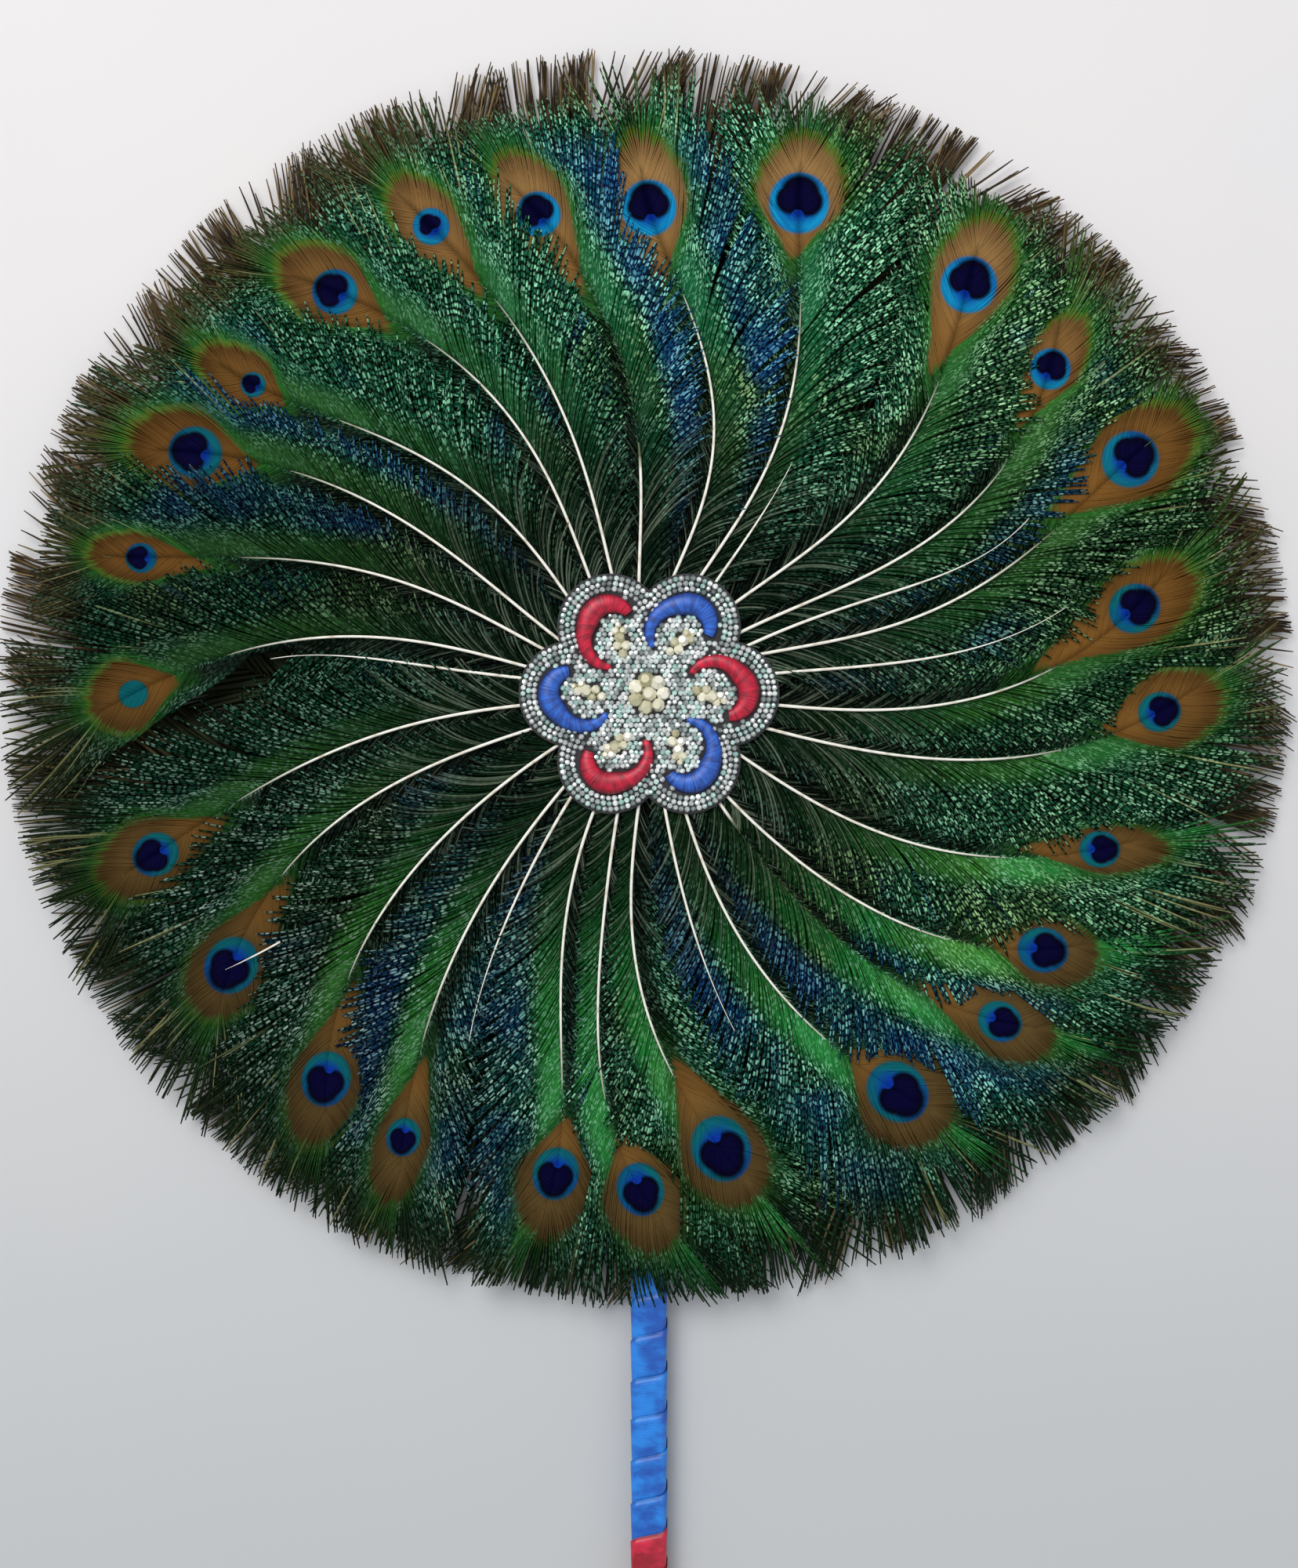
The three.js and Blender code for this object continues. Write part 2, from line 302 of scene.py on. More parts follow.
class Growth(Graph):
    """A Geometry Nodes tree with named inputs."""

    def __init__(self, name: str) -> None:
        """Make the tree with its geometry input and output.

        Args:
            name: Name of the tree.
        """
        tree = bpy.data.node_groups.new(name, "GeometryNodeTree")
        super().__init__(tree)
        self.identifiers: dict[str, str] = {}
        tree.interface.new_socket("Geometry", in_out="INPUT", socket_type="NodeSocketGeometry")
        tree.interface.new_socket("Geometry", in_out="OUTPUT", socket_type="NodeSocketGeometry")
        self.entry = tree.nodes.new("NodeGroupInput")
        self.exit = tree.nodes.new("NodeGroupOutput")

    def size(self, name: str, kind: str = "NodeSocketFloat") -> Value:
        """Add a named input.

        Args:
            name: What the input holds.
            kind: Blender's socket type.

        Returns:
            The input's value inside the tree.
        """
        socket = self.tree.interface.new_socket(name, in_out="INPUT", socket_type=kind)
        self.identifiers[name] = socket.identifier
        return Value(self, self.entry.outputs[name])

    def geometry(self) -> Value:
        """The geometry that comes in."""
        return Value(self, self.entry.outputs["Geometry"])

    def stored(self, name: str, kind: str = "FLOAT") -> Value:
        """A named attribute of the geometry."""
        return self.node("GeometryNodeInputNamedAttribute", {"data_type": kind}, {"Name": name})

    def store(self, geometry: Value, **values: Any) -> Value:
        """Store numbers and vectors on the geometry's points.

        Args:
            geometry: What to store them on.
            **values: Attribute names and what they hold.

        Returns:
            The geometry with the attributes.
        """
        for name, value in values.items():
            vector = isinstance(value, Value) and value.is_vector
            settings = {"data_type": "FLOAT_VECTOR" if vector else "FLOAT", "domain": "POINT"}
            inputs = {"Geometry": geometry, "Name": name, "Value": value}
            geometry = self.node("GeometryNodeStoreNamedAttribute", settings, inputs)
        return geometry

    def chance(self, low: Any, high: Any, seed: Any) -> Value:
        """Random number for each element."""
        limits = {2: low, 3: high, "Seed": seed}
        return self.node("FunctionNodeRandomValue", {"data_type": "FLOAT"}, limits, 1)

    def position(self) -> Value:
        """Where each element is."""
        return self.node("GeometryNodeInputPosition")

    def index(self) -> Value:
        """Number of each element."""
        return self.node("GeometryNodeInputIndex")

    def scatter(self, points: Value, shape: Value, **inputs: Any) -> Value:
        """Put a shape on every point and make it plain geometry.

        Args:
            points: Where the copies go.
            shape: What is copied.
            **inputs: Rotation and Scale, where they vary.

        Returns:
            The realised copies.
        """
        sockets = {"Points": points, "Instance": shape, **inputs}
        copies = self.node("GeometryNodeInstanceOnPoints", {}, sockets)
        return self.node("GeometryNodeRealizeInstances", {}, {"Geometry": copies})

    def dress(self, geometry: Value, material: bpy.types.Material) -> Value:
        """Smooth the faces and give them a material."""
        smooth = self.node("GeometryNodeSetShadeSmooth", {}, {"Geometry": geometry, "Shade Smooth": True})
        return self.node("GeometryNodeSetMaterial", {}, {"Geometry": smooth, "Material": material})

    def close(self, geometry: Value) -> None:
        """Send the geometry out of the tree."""
        self.feed(self.exit.inputs["Geometry"], geometry)

    def grow(self, name: str, base: bpy.types.Mesh, **values: Any) -> bpy.types.Object:
        """Run the tree on a base mesh and keep the result as a plain mesh.

        Args:
            name: Name of the new piece.
            base: Mesh that goes into the tree.
            **values: The tree's inputs, with underscores for spaces.

        Returns:
            The new object, linked to the scene.
        """
        piece = add_object(name, base)
        modifier = piece.modifiers.new("growth", "NODES")
        modifier.node_group = self.tree
        for key, value in values.items():
            modifier[self.identifiers[key.replace("_", " ")]] = value
        depsgraph = bpy.context.evaluated_depsgraph_get()
        source = piece.evaluated_get(depsgraph)
        mesh = bpy.data.meshes.new_from_object(source, preserve_all_data_layers=True, depsgraph=depsgraph)
        piece.modifiers.remove(modifier)
        piece.data = mesh
        mesh.name = name
        bpy.data.meshes.remove(base)
        return piece


def add_object(name: str, data: bpy.types.ID) -> bpy.types.Object:
    """Make an object and link it to the scene.

    Args:
        name: Its name.
        data: Its mesh, camera or light.

    Returns:
        The object.
    """
    made = bpy.data.objects.new(name, data)
    bpy.context.scene.collection.objects.link(made)
    return made


def new_mesh(
    name: str, points: Sequence[Sequence[float]], edges: Sequence[tuple[int, int]] = (),
    faces: Sequence[Sequence[int]] = (), **traits: Sequence[float],
) -> bpy.types.Mesh:
    """Make a mesh with numbers stored on its points.

    Args:
        name: Name of the mesh.
        points: Rows of x, y and z.
        edges: Point numbers of each edge, for a mesh without faces.
        faces: Corner numbers of each face, anticlockwise seen from outside.
        **traits: Attribute names and one number for each point.

    Returns:
        The mesh.
    """
    mesh = bpy.data.meshes.new(name)
    mesh.from_pydata([tuple(row) for row in points], list(edges), [tuple(face) for face in faces])
    for trait, values in traits.items():
        numbers = np.asarray(values, np.float32)
        mesh.attributes.new(trait, "FLOAT", "POINT").data.foreach_set("value", numbers)
    return mesh


def new_piece(
    name: str, points: np.ndarray, faces: Sequence[Sequence[int]], material: bpy.types.Material,
    smooth: bool = False, **traits: Sequence[float],
) -> bpy.types.Object:
    """Make a linked mesh object of one material.

    Args:
        name: Name of the piece.
        points: Rows of x, y and z.
        faces: Corner numbers of each face, anticlockwise seen from outside.
        material: Its material.
        smooth: Whether its faces are shaded smooth.
        **traits: Attribute names and one number for each point.

    Returns:
        The new object.
    """
    mesh = new_mesh(name, points, faces=faces, **traits)
    mesh.update()
    if smooth:
        mesh.shade_smooth()
    mesh.materials.append(material)
    return add_object(name, mesh)


def tube_faces(rings: int, size: int) -> list[tuple[int, ...]]:
    """Faces that join rings of points, anticlockwise about the way they travel, into a closed tube.

    Args:
        rings: Number of rings.
        size: Points in each ring.

    Returns:
        Corner numbers of each face.
    """
    faces: list[tuple[int, ...]] = []
    for k in range(rings - 1):
        for j in range(size):
            here, beside = k * size + j, k * size + (j + 1) % size
            faces.append((here, beside, beside + size, here + size))
    faces.append(tuple(reversed(range(size))))
    faces.append(tuple(range((rings - 1) * size, rings * size)))
    return faces


def felt_sheet(
    name: str, node: str, slot: str, soft: float, outline: Callable[[float, float], np.ndarray],
    finish: "FeltFinish",
) -> None:
    """Make a flat sheet of felt with rounded edges, as thick as the CAD node that it stands for.

    Args:
        name: Name of the piece.
        node: CAD node that it stands for.
        slot: The record's material slot.
        soft: Radius of its edges.
        outline: Gives the points round the sheet, from their distance inside its edge and their height.
        finish: Its felt.
    """
    low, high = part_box(node)
    rings = [
        outline(soft, low.z), outline(0.0, low.z + soft), outline(0.0, high.z - soft), outline(soft, high.z),
    ]
    faces = tube_faces(len(rings), len(rings[0]))
    settle(new_piece(name, np.concatenate(rings), faces, finish.make()), slot, node)


def settle(piece: bpy.types.Object, slot: str, *nodes: str) -> bpy.types.Object:
    """Let a finished piece ride on the fan and stand for its CAD nodes.

    Args:
        piece: The finished object.
        slot: The record's material slot; not used.
        *nodes: CAD nodes that it replaces.

    Returns:
        The same object.
    """
    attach(piece, BODY)
    if nodes:
        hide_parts(*nodes)
    LOG.info("%s: %d faces", piece.name, len(piece.data.polygons))
    return piece


class Layer(Enum):
    """The two layers of feathers, and the way that each one's face looks."""

    FRONT = 1
    REAR = -1


LAG_RADII = (42.7, 72.7, 106.0)
"""Millimetres from the hub at which the photo's shafts were measured."""
BEND_START, BEND_PAST_EYE = 32.0, 14.0
"""Millimetres from the hub, and past the eye, between which a shaft bends as it was measured."""


@dataclass(frozen=True)
class Course:
    """The way a shaft takes from the hub to its eye."""

    bearing: float
    """Degrees anticlockwise from +X to the eye, as the CAD feather is laid."""
    radius: float
    """Millimetres from the hub's centre to the eye's middle."""
    lags: tuple[float, float, float]
    """Degrees by which the shaft is behind the eye's bearing at each of the measured distances."""

    def angle(self, radii: np.ndarray) -> np.ndarray:
        """Bearing of the shaft at distances from the hub.

        Args:
            radii: Distances in metres.

        Returns:
            Radians anticlockwise from +X.
        """
        bend = np.polynomial.Polynomial.fit((*LAG_RADII, self.radius), (*self.lags, 0.0), len(LAG_RADII))
        measured = np.clip(np.asarray(radii) / MM, BEND_START, self.radius + BEND_PAST_EYE)
        return np.radians(self.bearing - bend(measured))

    def point(self, radius: float) -> Vector:
        """The x and y of the shaft at a distance from the hub."""
        return polar(radius, float(self.angle(radius)))


@dataclass(frozen=True)
class Eye(Course):
    """A front feather and its eye, as the photo shows them."""

    disc: float = 9.0
    """Half width of the blue disc in millimetres."""
    bronze: tuple[float, float, float] = (21.0, 22.0, 12.0)
    """Millimetres of bronze from the disc's middle to the rim side, to the hub side, and half its width."""
    covered: float = 0.0
    """Millimetres of the bronze's width that the next feather's barbs lie over."""
    blue: float = 0.3
    """How blue the vane looks, from 0 to 1."""
    pupil: float = 1.0
    """Size of the dark pupil, 1 on a usual eye."""
    shaft_end: float = 0.0
    """Millimetres from the hub to where the shaft goes under, if not at the usual distance."""
    gap: float = 0.0
    """Millimetres of dark gap beside the shaft, on its anticlockwise side."""


EYES = (
    Eye(10, 153.4, (15, 13.9, 10), 7.5, (21, 31, 12), blue=0.25),
    Eye(26, 166.8, (7.7, 10.4, 8.2), 8.6, (22, 28, 13.5), blue=0.5),
    Eye(39, 160.7, (6.8, 10.3, 9.6), 6.2, (18, 20, 8.5), covered=2, blue=0.85),
    Eye(52, 161.7, (6.4, 10.3, 8.7), 8.6, (21, 28, 12), blue=0.45),
    Eye(73, 159.8, (7.4, 10.6, 8), 9.2, (20, 17, 13.5), blue=0.3),
    Eye(90, 151.2, (13.3, 15.3, 9.4), 8.4, (22, 24, 12), covered=6, blue=0.78),
    Eye(103, 153.2, (9.1, 10.8, 8.2), 6.8, (20, 27, 10.5), covered=7, blue=1.0, shaft_end=72),
    Eye(115, 160.5, (8.1, 8.9, 6.7), 5.6, (18, 26, 9.5), covered=1, blue=0.5, pupil=0.7),
    Eye(128, 158.8, (11.3, 13, 10), 6.9, (19, 20, 11.5), covered=5, blue=0.45),
    Eye(142, 156.3, (12.5, 12.4, 7.5), 3.8, (19, 11, 8.5), covered=4, blue=0.5),
    Eye(152, 160.0, (4.8, 7.3, 6.4), 8.0, (21, 19, 12.5), covered=8, blue=1.0),
    Eye(165, 163.7, (8.9, 10, 7.2), 4.6, (16, 20, 7.5), blue=0.75),
    Eye(180, 160.5, (12.8, 12.8, 9.4), 4.2, (14, 13, 11), blue=0.45, pupil=0.0, gap=10),
    Eye(198, 161.5, (12.8, 10.8, 6.9), 6.6, (19, 20, 12), covered=4, blue=0.2),
    Eye(213, 154.9, (16.3, 14.6, 10.6), 8.0, (18, 26, 12), covered=2, blue=0.15),
    Eye(230, 156.3, (19.4, 15.8, 10.9), 7.5, (21, 24, 11), blue=0.75),
    Eye(241, 157.6, (13.2, 10.8, 7.1), 5.2, (21, 20, 8.5), blue=0.85),
    Eye(259, 152.0, (14, 9.6, 4), 7.1, (20, 14, 12), blue=0.9),
    Eye(269, 154.1, (13.2, 10.3, 7.6), 7.2, (20, 14, 12.5), blue=0.25),
    Eye(279, 143.2, (14.6, 13.2, 8), 9.0, (19, 24, 13.5), blue=0.3),
    Eye(302, 145.9, (14.8, 12.6, 7.6), 8.8, (19, 15, 15.5), covered=4, blue=0.8),
    Eye(317, 149.3, (14, 12, 8), 6.1, (18, 22, 11), covered=1, blue=0.9, shaft_end=46),
    Eye(327, 146.1, (19.2, 14.7, 9.2), 6.9, (17, 14, 11), covered=3, blue=0.7),
    Eye(341, 148.3, (14.9, 13.2, 8.6), 5.6, (21, 20, 7.5), covered=1, blue=0.3),
    Eye(358, 159.0, (14.1, 12.4, 9.1), 6.1, (20, 16, 12), blue=0.3),
)


@dataclass(frozen=True)
class HiddenFeather(Course):
    """A front feather of which only a length of shaft shows between the others."""

    end: float = 100.0
    """Millimetres from the hub to where it goes under."""
    start: float = 18.0
    """Millimetres from the hub to where it comes into sight."""
    slender: float = 1.0
    """Thickness of its shaft, 1 for a usual one."""


HIDDEN = (
    HiddenFeather(17, 156, (8.1, 9.8, 8.7), 132),
    HiddenFeather(33, 156, (7.4, 9.7, 10.8), 130),
    HiddenFeather(68, 156, (9.1, 10.2, 8), 84),
    HiddenFeather(185, 156, (12, 12.2, 11.5), 118),
    HiddenFeather(213, 158, (-1.5, -1.5, -1.5), 157, start=138, slender=0.6),
    HiddenFeather(249, 156, (15.7, 12.3, 8.5), 122),
    HiddenFeather(292, 156, (13.7, 11.5, 8), 108),
)


class Trait(str, Enum):
    """Names of the numbers that the feathers' meshes carry for their materials and their map."""

    ALONG = "barb_along"
    RANDOM = "barb_random"
    LENGTH = "barb_length"
    ASIDE = "barb_aside"
    ROW = "barb_row"
    ACROSS = "barb_across"
    LANE = "barb_lane"
    EYE = "eye_place"
    BRONZE = "bronze_place"


SPARE_TRAITS = (
    "barb_ahead", "barb_place", "barb_side", "barb_root", "barb_out", "barb_splay", "barb_curl", "barb_level",
    "barb_crest", "shaft_radius", "shaft_lift",
)
"""Numbers that a feather's mesh needs only while it grows."""
STRAND_STEP = 0.37
"""Step between the random numbers of the barbs that one strand stands for."""
BARB_RELIEF = 0.06 * MM


class Chart:
    """Where a point of a barb lies, in millimetres on the fan and along the barb."""

    WEST: Span = (20.0, -140.0)
    """Millimetres across the fan between which its left side begins."""

    def __init__(self, paint: Paint) -> None:
        """Read the point's place and its barb's numbers.

        Args:
            paint: The material.
        """
        self.place = paint.place()
        self.x = self.place.part("X") * TO_MM
        self.y = self.place.part("Y") * TO_MM
        self.radius = (self.place * (TO_MM, TO_MM, 0.0)).length()
        self.west = self.x.ease(*self.WEST)
        self.run = paint.trait(Trait.ALONG) * paint.trait(Trait.LENGTH) * TO_MM
        self.lane = paint.trait(Trait.LANE)
        self.strand = self.lane.apply("FLOOR")
        self.chance = (paint.trait(Trait.RANDOM) + self.strand * STRAND_STEP).apply("FRACT")


class VaneChart(Chart):
    """What the colours of the front vanes follow as well."""

    EAST: Span = (40.0, 130.0)
    NORTH: Span = (-130.0, 150.0)
    HANDLE_SIDE: Span = (60.0, -90.0)
    # Millimetres across or up the fan between which a side, or the part by the handle where the green is
    # lighter, begins.
    """Millimetres across or up the fan between which a side, or the fresher green by the handle, begins."""

    def __init__(self, paint: Paint) -> None:
        """Read the distance from the shaft and mark the fan's sides.

        Args:
            paint: The material.
        """
        super().__init__(paint)
        self.aside = paint.trait(Trait.ASIDE) * TO_MM
        self.east = self.x.ease(*self.EAST)
        self.north = self.y.ease(*self.NORTH)
        self.handle_side = self.y.ease(*self.HANDLE_SIDE)
        self.upper_east = self.east * (1.0 - self.handle_side)
        self.wander = paint.noise(self.place, 330.0, 1.0)


@dataclass(frozen=True)
class FrontBarbFinish:
    """Iridescent barbs: green by the shaft, glinting teal dashes beyond, and the eye's rings at the tip."""

    pupil: Colour = srgb(3, 1, 42)
    pupil_rim: Colour = srgb(1, 0, 17)
    blue: Colour = srgb(6, 48, 146)
    cyan: Colour = srgb(16, 138, 190)
    teal_ring: Colour = srgb(8, 92, 100)
    bronze_light: Colour = srgb(128, 99, 60)
    bronze_warm: Colour = srgb(94, 64, 26)
    bronze_dark: Colour = srgb(74, 58, 30)
    gold_edge: Colour = srgb(86, 100, 30)
    leaf_edge: Colour = srgb(36, 92, 28)
    green_dark: Colour = srgb(5, 36, 14)
    green_light: Colour = srgb(40, 138, 60)
    green_olive: Colour = srgb(70, 120, 32)
    green_teal: Colour = srgb(22, 98, 58)
    mid_green: Colour = srgb(16, 90, 60)
    mid_blue: Colour = srgb(10, 67, 106)
    glint_green: Colour = srgb(134, 198, 160)
    glint_blue: Colour = srgb(120, 190, 204)
    glint_pale: Colour = srgb(192, 214, 208)
    mid_olive: Colour = srgb(44, 76, 26)
    glint_olive: Colour = srgb(150, 180, 112)
    gap_green: Colour = srgb(2, 16, 8)
    gap_blue: Colour = srgb(3, 17, 48)
    # Dark of the down at the hub, also the colour of the painted shadow beside the shafts.
    shadow_and_hub_dark: Colour = srgb(4, 9, 6)
    hub_pale: Colour = srgb(104, 116, 98)
    rim_dark: Colour = srgb(12, 30, 14)
    rim_tip: Colour = srgb(46, 42, 22)
    straw: Colour = srgb(176, 176, 120)
    rim_pale: Colour = srgb(84, 72, 43)
    dash_pitch: float = 2.2
    """Millimetres from one dash on a barb to the next."""
    blue_bands: tuple[Span, Span] = ((-7.0, -14.0), (2.0, 9.0))
    """Millimetres beside the shaft between which the blue begins, clockwise and anticlockwise."""
    smooth_side: tuple[Span, Span] = ((-10.0, -4.0), (1.0, -1.0))
    """Millimetres beside the shaft between which the smooth green begins and ends."""
    shaft_shadow: tuple[Span, Span] = ((0.2, 1.2), (8.0, 3.0))
    """Millimetres beside the shaft between which its shadow begins and ends."""
    blue_end: Span = (184.0, 164.0)
    """Millimetres from the hub between which the blue ends."""
    hub_fade: Span = (108.0, 46.0)
    # Millimetres from the hub between which the vane turns dark towards it, with dark down and painted shade.
    """Millimetres from the hub between which the vane turns dark towards it."""
    dark_rim: Span = (162.0, 186.0)
    """Millimetres from the hub between which the rim by the handle turns dark."""
    dry_rim: Span = (150.0, 178.0)
    """Millimetres from the hub between which dry barbs begin."""
    brown_rim: Span = (180.0, 197.0)
    """Millimetres from the hub between which the rim turns brown."""
    leaf_rim: Span = (1.7, 1.15)
    gold_rim: Span = (1.22, 1.08)
    bronze_edge: Span = (1.08, 0.94)
    """Where the leaf green, the gold and the bronze begin, as shares of the bronze oval."""
    disc_edge: Span = (1.08, 0.95)
    """Where the blue disc begins, as a share of its half width."""
    pupil_edge: Span = (1.2, 0.84)
    """Where the pupil begins, as a share of its size."""

    def make(self) -> bpy.types.Material:
        """Build the material.

        Returns:
            The material for the barbs of the front feathers.
        """
        paint = Paint("front barbs")
        chart = VaneChart(paint)
        colour, inside = self.eye(paint, chart, self.edges(paint, chart, self.vane(paint, chart)))
        paint.surface(Base_Color=colour, Roughness=0.52 + inside * 0.12, Specular_IOR_Level=0.04)
        paint.relief(chart.run.wave(21.0), BARB_RELIEF, 0.5)
        return paint.material

    def vane(self, paint: Paint, chart: VaneChart) -> Value:
        """Colour of the vane between its edges.

        Args:
            paint: The material.
            chart: Where the point lies.

        Returns:
            Green by the shaft's clockwise side, and dashes that glint elsewhere.
        """
        place, west, handle_side, chance = chart.place, chart.west, chart.handle_side, chart.chance
        beat = chart.run / self.dash_pitch + chance * 9.0 + chart.wander * 1.6
        cell = beat.apply("FLOOR")
        phase = beat - cell
        spark = paint.spark(cell + chance * 57.0)
        seam = (chart.lane - chart.strand - 0.5).apply("ABSOLUTE").ease(0.36, 0.5)
        dash = phase.ease(0.06, 0.25) * phase.ease(0.86, 0.6) * (1.0 - seam * 0.7)
        clockwise, anticlockwise = (chart.aside.ease(*span) for span in self.blue_bands)
        band = clockwise + anticlockwise * 0.75
        blueness = paint.trait(Trait.EYE, "Vector").part("Z")
        zone = band * (paint.noise(place, 30.0) * 1.4 + blueness * 0.8 - 1.12).ease(0.0, 0.45)
        zone = zone * chart.radius.ease(*self.blue_end)
        lively = paint.noise(place, 52.0).ease(0.3, 0.62) * 0.5
        lively = lively + paint.noise(place, 150.0).ease(0.36, 0.64) * 0.5 + 0.2
        olive = paint.noise(place * (1.0, 1.0, 0.0) + (0.7, 0.3, 0.0), 19.0).ease(0.5, 0.68) * 0.7
        olive = olive.most(chart.upper_east * 0.55)
        gap = paint.blend(zone, self.gap_green, self.gap_blue)
        mid = paint.blend(zone, paint.blend(olive, self.mid_green, self.mid_olive), self.mid_blue)
        glint = paint.blend(zone, paint.blend(olive, self.glint_green, self.glint_olive), self.glint_blue)
        glint = paint.blend(west * handle_side * 0.6, glint, self.glint_pale)
        bright = dash * spark.ease(0.36, 0.97) * lively * (1.0 - zone * 0.35)
        bright = bright * (1.0 - west * (1.0 - handle_side) * 0.35)
        speckle = paint.blend(dash * (spark * 0.6 + 0.4), gap, mid)
        speckle = paint.blend(bright, speckle, glint)
        green = paint.blend(handle_side, self.green_teal, self.green_light)
        yellow = (west * 0.6).most(chart.upper_east * 0.6).most(paint.noise(place, 14.0).ease(0.5, 0.7) * 0.6)
        green = paint.blend(yellow, green, self.green_olive)
        green = paint.blend(chance * 0.4 + chart.wander * 0.3 + 0.06, green, self.green_dark)
        streak = paint.blend(bright * 0.35, green, glint)
        streak = paint.shade(streak, (handle_side * 0.3 + 0.7) * (chart.radius.ease(60.0, 125.0) * 0.6 + 0.5))
        begins, ends = (chart.aside.ease(*span) for span in self.smooth_side)
        smooth = begins * ends * (0.85 - zone * 0.7)
        beside = chart.y.apply("ABSOLUTE").ease(100.0, 20.0) * (1.0 - west * 0.5)
        lit = 1.14 - west * 0.57 + chart.y.ease(40.0, 120.0) * 0.58
        lit = lit + chart.east * handle_side * 0.4 - beside * 0.18 - chart.upper_east * 0.1
        return paint.shade(paint.blend(smooth, speckle, streak), lit)

    def edges(self, paint: Paint, chart: VaneChart, colour: Value) -> Value:
        """What lies over the vane's colour at the shaft, the hub and the rim.

        Args:
            paint: The material.
            chart: Where the point lies.
            colour: The vane's colour.

        Returns:
            The colour with a painted shadow along the shaft, dark down and painted shade at the hub, and dry
            and brown at the rim.
        """
        radius, west, chance = chart.radius, chart.west, chart.chance
        tall = chart.y - west * 50.0
        begins, ends = (chart.aside.ease(*span) for span in self.shaft_shadow)
        # Painted shadow in a band beside the shaft.
        colour = paint.blend(begins * ends * 0.85, colour, self.shadow_and_hub_dark)
        # Towards the hub: dark down with pale strands, and painted shade.
        hub = paint.blend(chance.ease(0.6, 1.0) * (chart.wander * 0.8 + 0.35), self.shadow_and_hub_dark, self.hub_pale)
        colour = paint.blend(radius.ease(*self.hub_fade) * 0.78, colour, hub)
        by_handle = radius.ease(*self.dark_rim) * tall.ease(0.0, -90.0)
        colour = paint.blend(by_handle * 0.85, colour, self.rim_dark)
        dry_side = chart.y.ease(-60.0, 40.0).most(chart.east).most(west * 0.8)
        dry = radius.ease(*self.dry_rim) * dry_side * chance.ease(0.93, 0.96)
        colour = paint.blend(dry * 0.45, colour, self.straw)
        brown = paint.blend(chance, self.rim_tip, self.rim_pale)
        dull = (radius + west * 6.0).ease(*self.brown_rim) * (tall.ease(-100.0, 60.0) * 0.75 + 0.15)
        return paint.blend(dull * (chance * 0.5 + 0.6), colour, brown)

    def eye(self, paint: Paint, chart: VaneChart, colour: Value) -> tuple[Value, Value]:
        """Rings of the eye over the vane's colour.

        Args:
            paint: The material.
            chart: Where the point lies.
            colour: The vane's colour.

        Returns:
            The colour with the eye on it, and how far inside the bronze oval a point is.
        """
        height, north, west = chart.y, chart.north, chart.west
        chance = paint.trait(Trait.RANDOM)
        eye, bronze = paint.trait(Trait.EYE, "Vector"), paint.trait(Trait.BRONZE, "Vector")
        length, pupil_size = bronze.part("X"), bronze.part("Z")
        ahead = eye.part("X") * (north * 0.1 + 0.89)
        aside = eye.part("Y").apply("ABSOLUTE")

        def distance(from_ahead: float, from_aside: float, half: float) -> Value:
            """Distance from a spot of the eye and its mirror image, over a half width."""
            return paint.vector(ahead - from_ahead, aside - from_aside).length() / half

        disc = paint.vector(ahead * 0.98, aside).length()
        bite = distance(-0.56, 0.0, 0.4).ease(1.0, 0.5) * (0.26 - aside).ease(0.0, 0.22)
        heart = distance(0.08, 0.3, 0.5).least(distance(0.28, 0.0, 0.68)) / pupil_size.most(0.01) + bite
        length = length.most(0.0) + length.least(0.0) * (north * 0.2 + 0.8)
        narrow = 1.0 - length.ease(0.15, -1.0) * 0.62
        oval = paint.vector(length, bronze.part("Y") / narrow).length() + (chance - 0.5) * 0.14
        copper = paint.blend(height.ease(-100.0, 50.0), self.bronze_dark, self.bronze_warm)
        copper = paint.blend(height.ease(70.0, 165.0) * (1.0 - west * 0.7), copper, self.bronze_light)
        tail = length.ease(-0.1, -0.7)
        copper = paint.blend(tail * 0.6, copper, self.bronze_warm)
        glow = 0.68 + chance * 0.3 + (oval.ease(1.0, 0.45) + tail * 0.7) * 0.55 - disc.ease(1.3, 1.0) * 0.2
        # Painted shade: the bronze is darker on the fan's left side.
        copper = paint.shade(copper, glow * (1.0 - west * 0.26))
        leaf = paint.shade(self.leaf_edge, (0.55 + chance * 0.9) * (north * 0.75 + 0.3))
        colour = paint.blend(oval.ease(*self.leaf_rim) * (0.3 + chance * 0.5), colour, leaf)
        gilt = oval.ease(*self.gold_rim) * length.ease(-0.4, 0.5) * (north * 0.65 + 0.12)
        colour = paint.blend(gilt, colour, self.gold_edge)
        colour = paint.blend(oval.ease(*self.bronze_edge), colour, copper)
        pale = paint.blend(height.ease(40.0, 150.0) * (1.0 - west * 0.75), self.teal_ring, self.cyan)
        sheen = ahead.ease(0.6, -0.4) * 0.3 + paint.noise(chart.place, 75.0).ease(0.3, 0.65) * 0.5 + 0.4
        ring = paint.blend(disc.ease(0.35, 0.9) * sheen, self.blue, pale)
        ring = paint.blend(pupil_size.ease(0.4, 0.1), ring, self.teal_ring)
        # The ring darkens at the disc's edge, and with painted shade on the fan's left side.
        ring = paint.shade(ring, 1.0 - disc.ease(0.85, 1.05) * 0.3 - west * 0.16)
        colour = paint.blend(disc.ease(*self.disc_edge), colour, ring)
        dark = paint.blend(heart.ease(0.4, 0.95), self.pupil, self.pupil_rim)
        return paint.blend(heart.ease(*self.pupil_edge), colour, dark), oval.ease(1.3, 1.1)


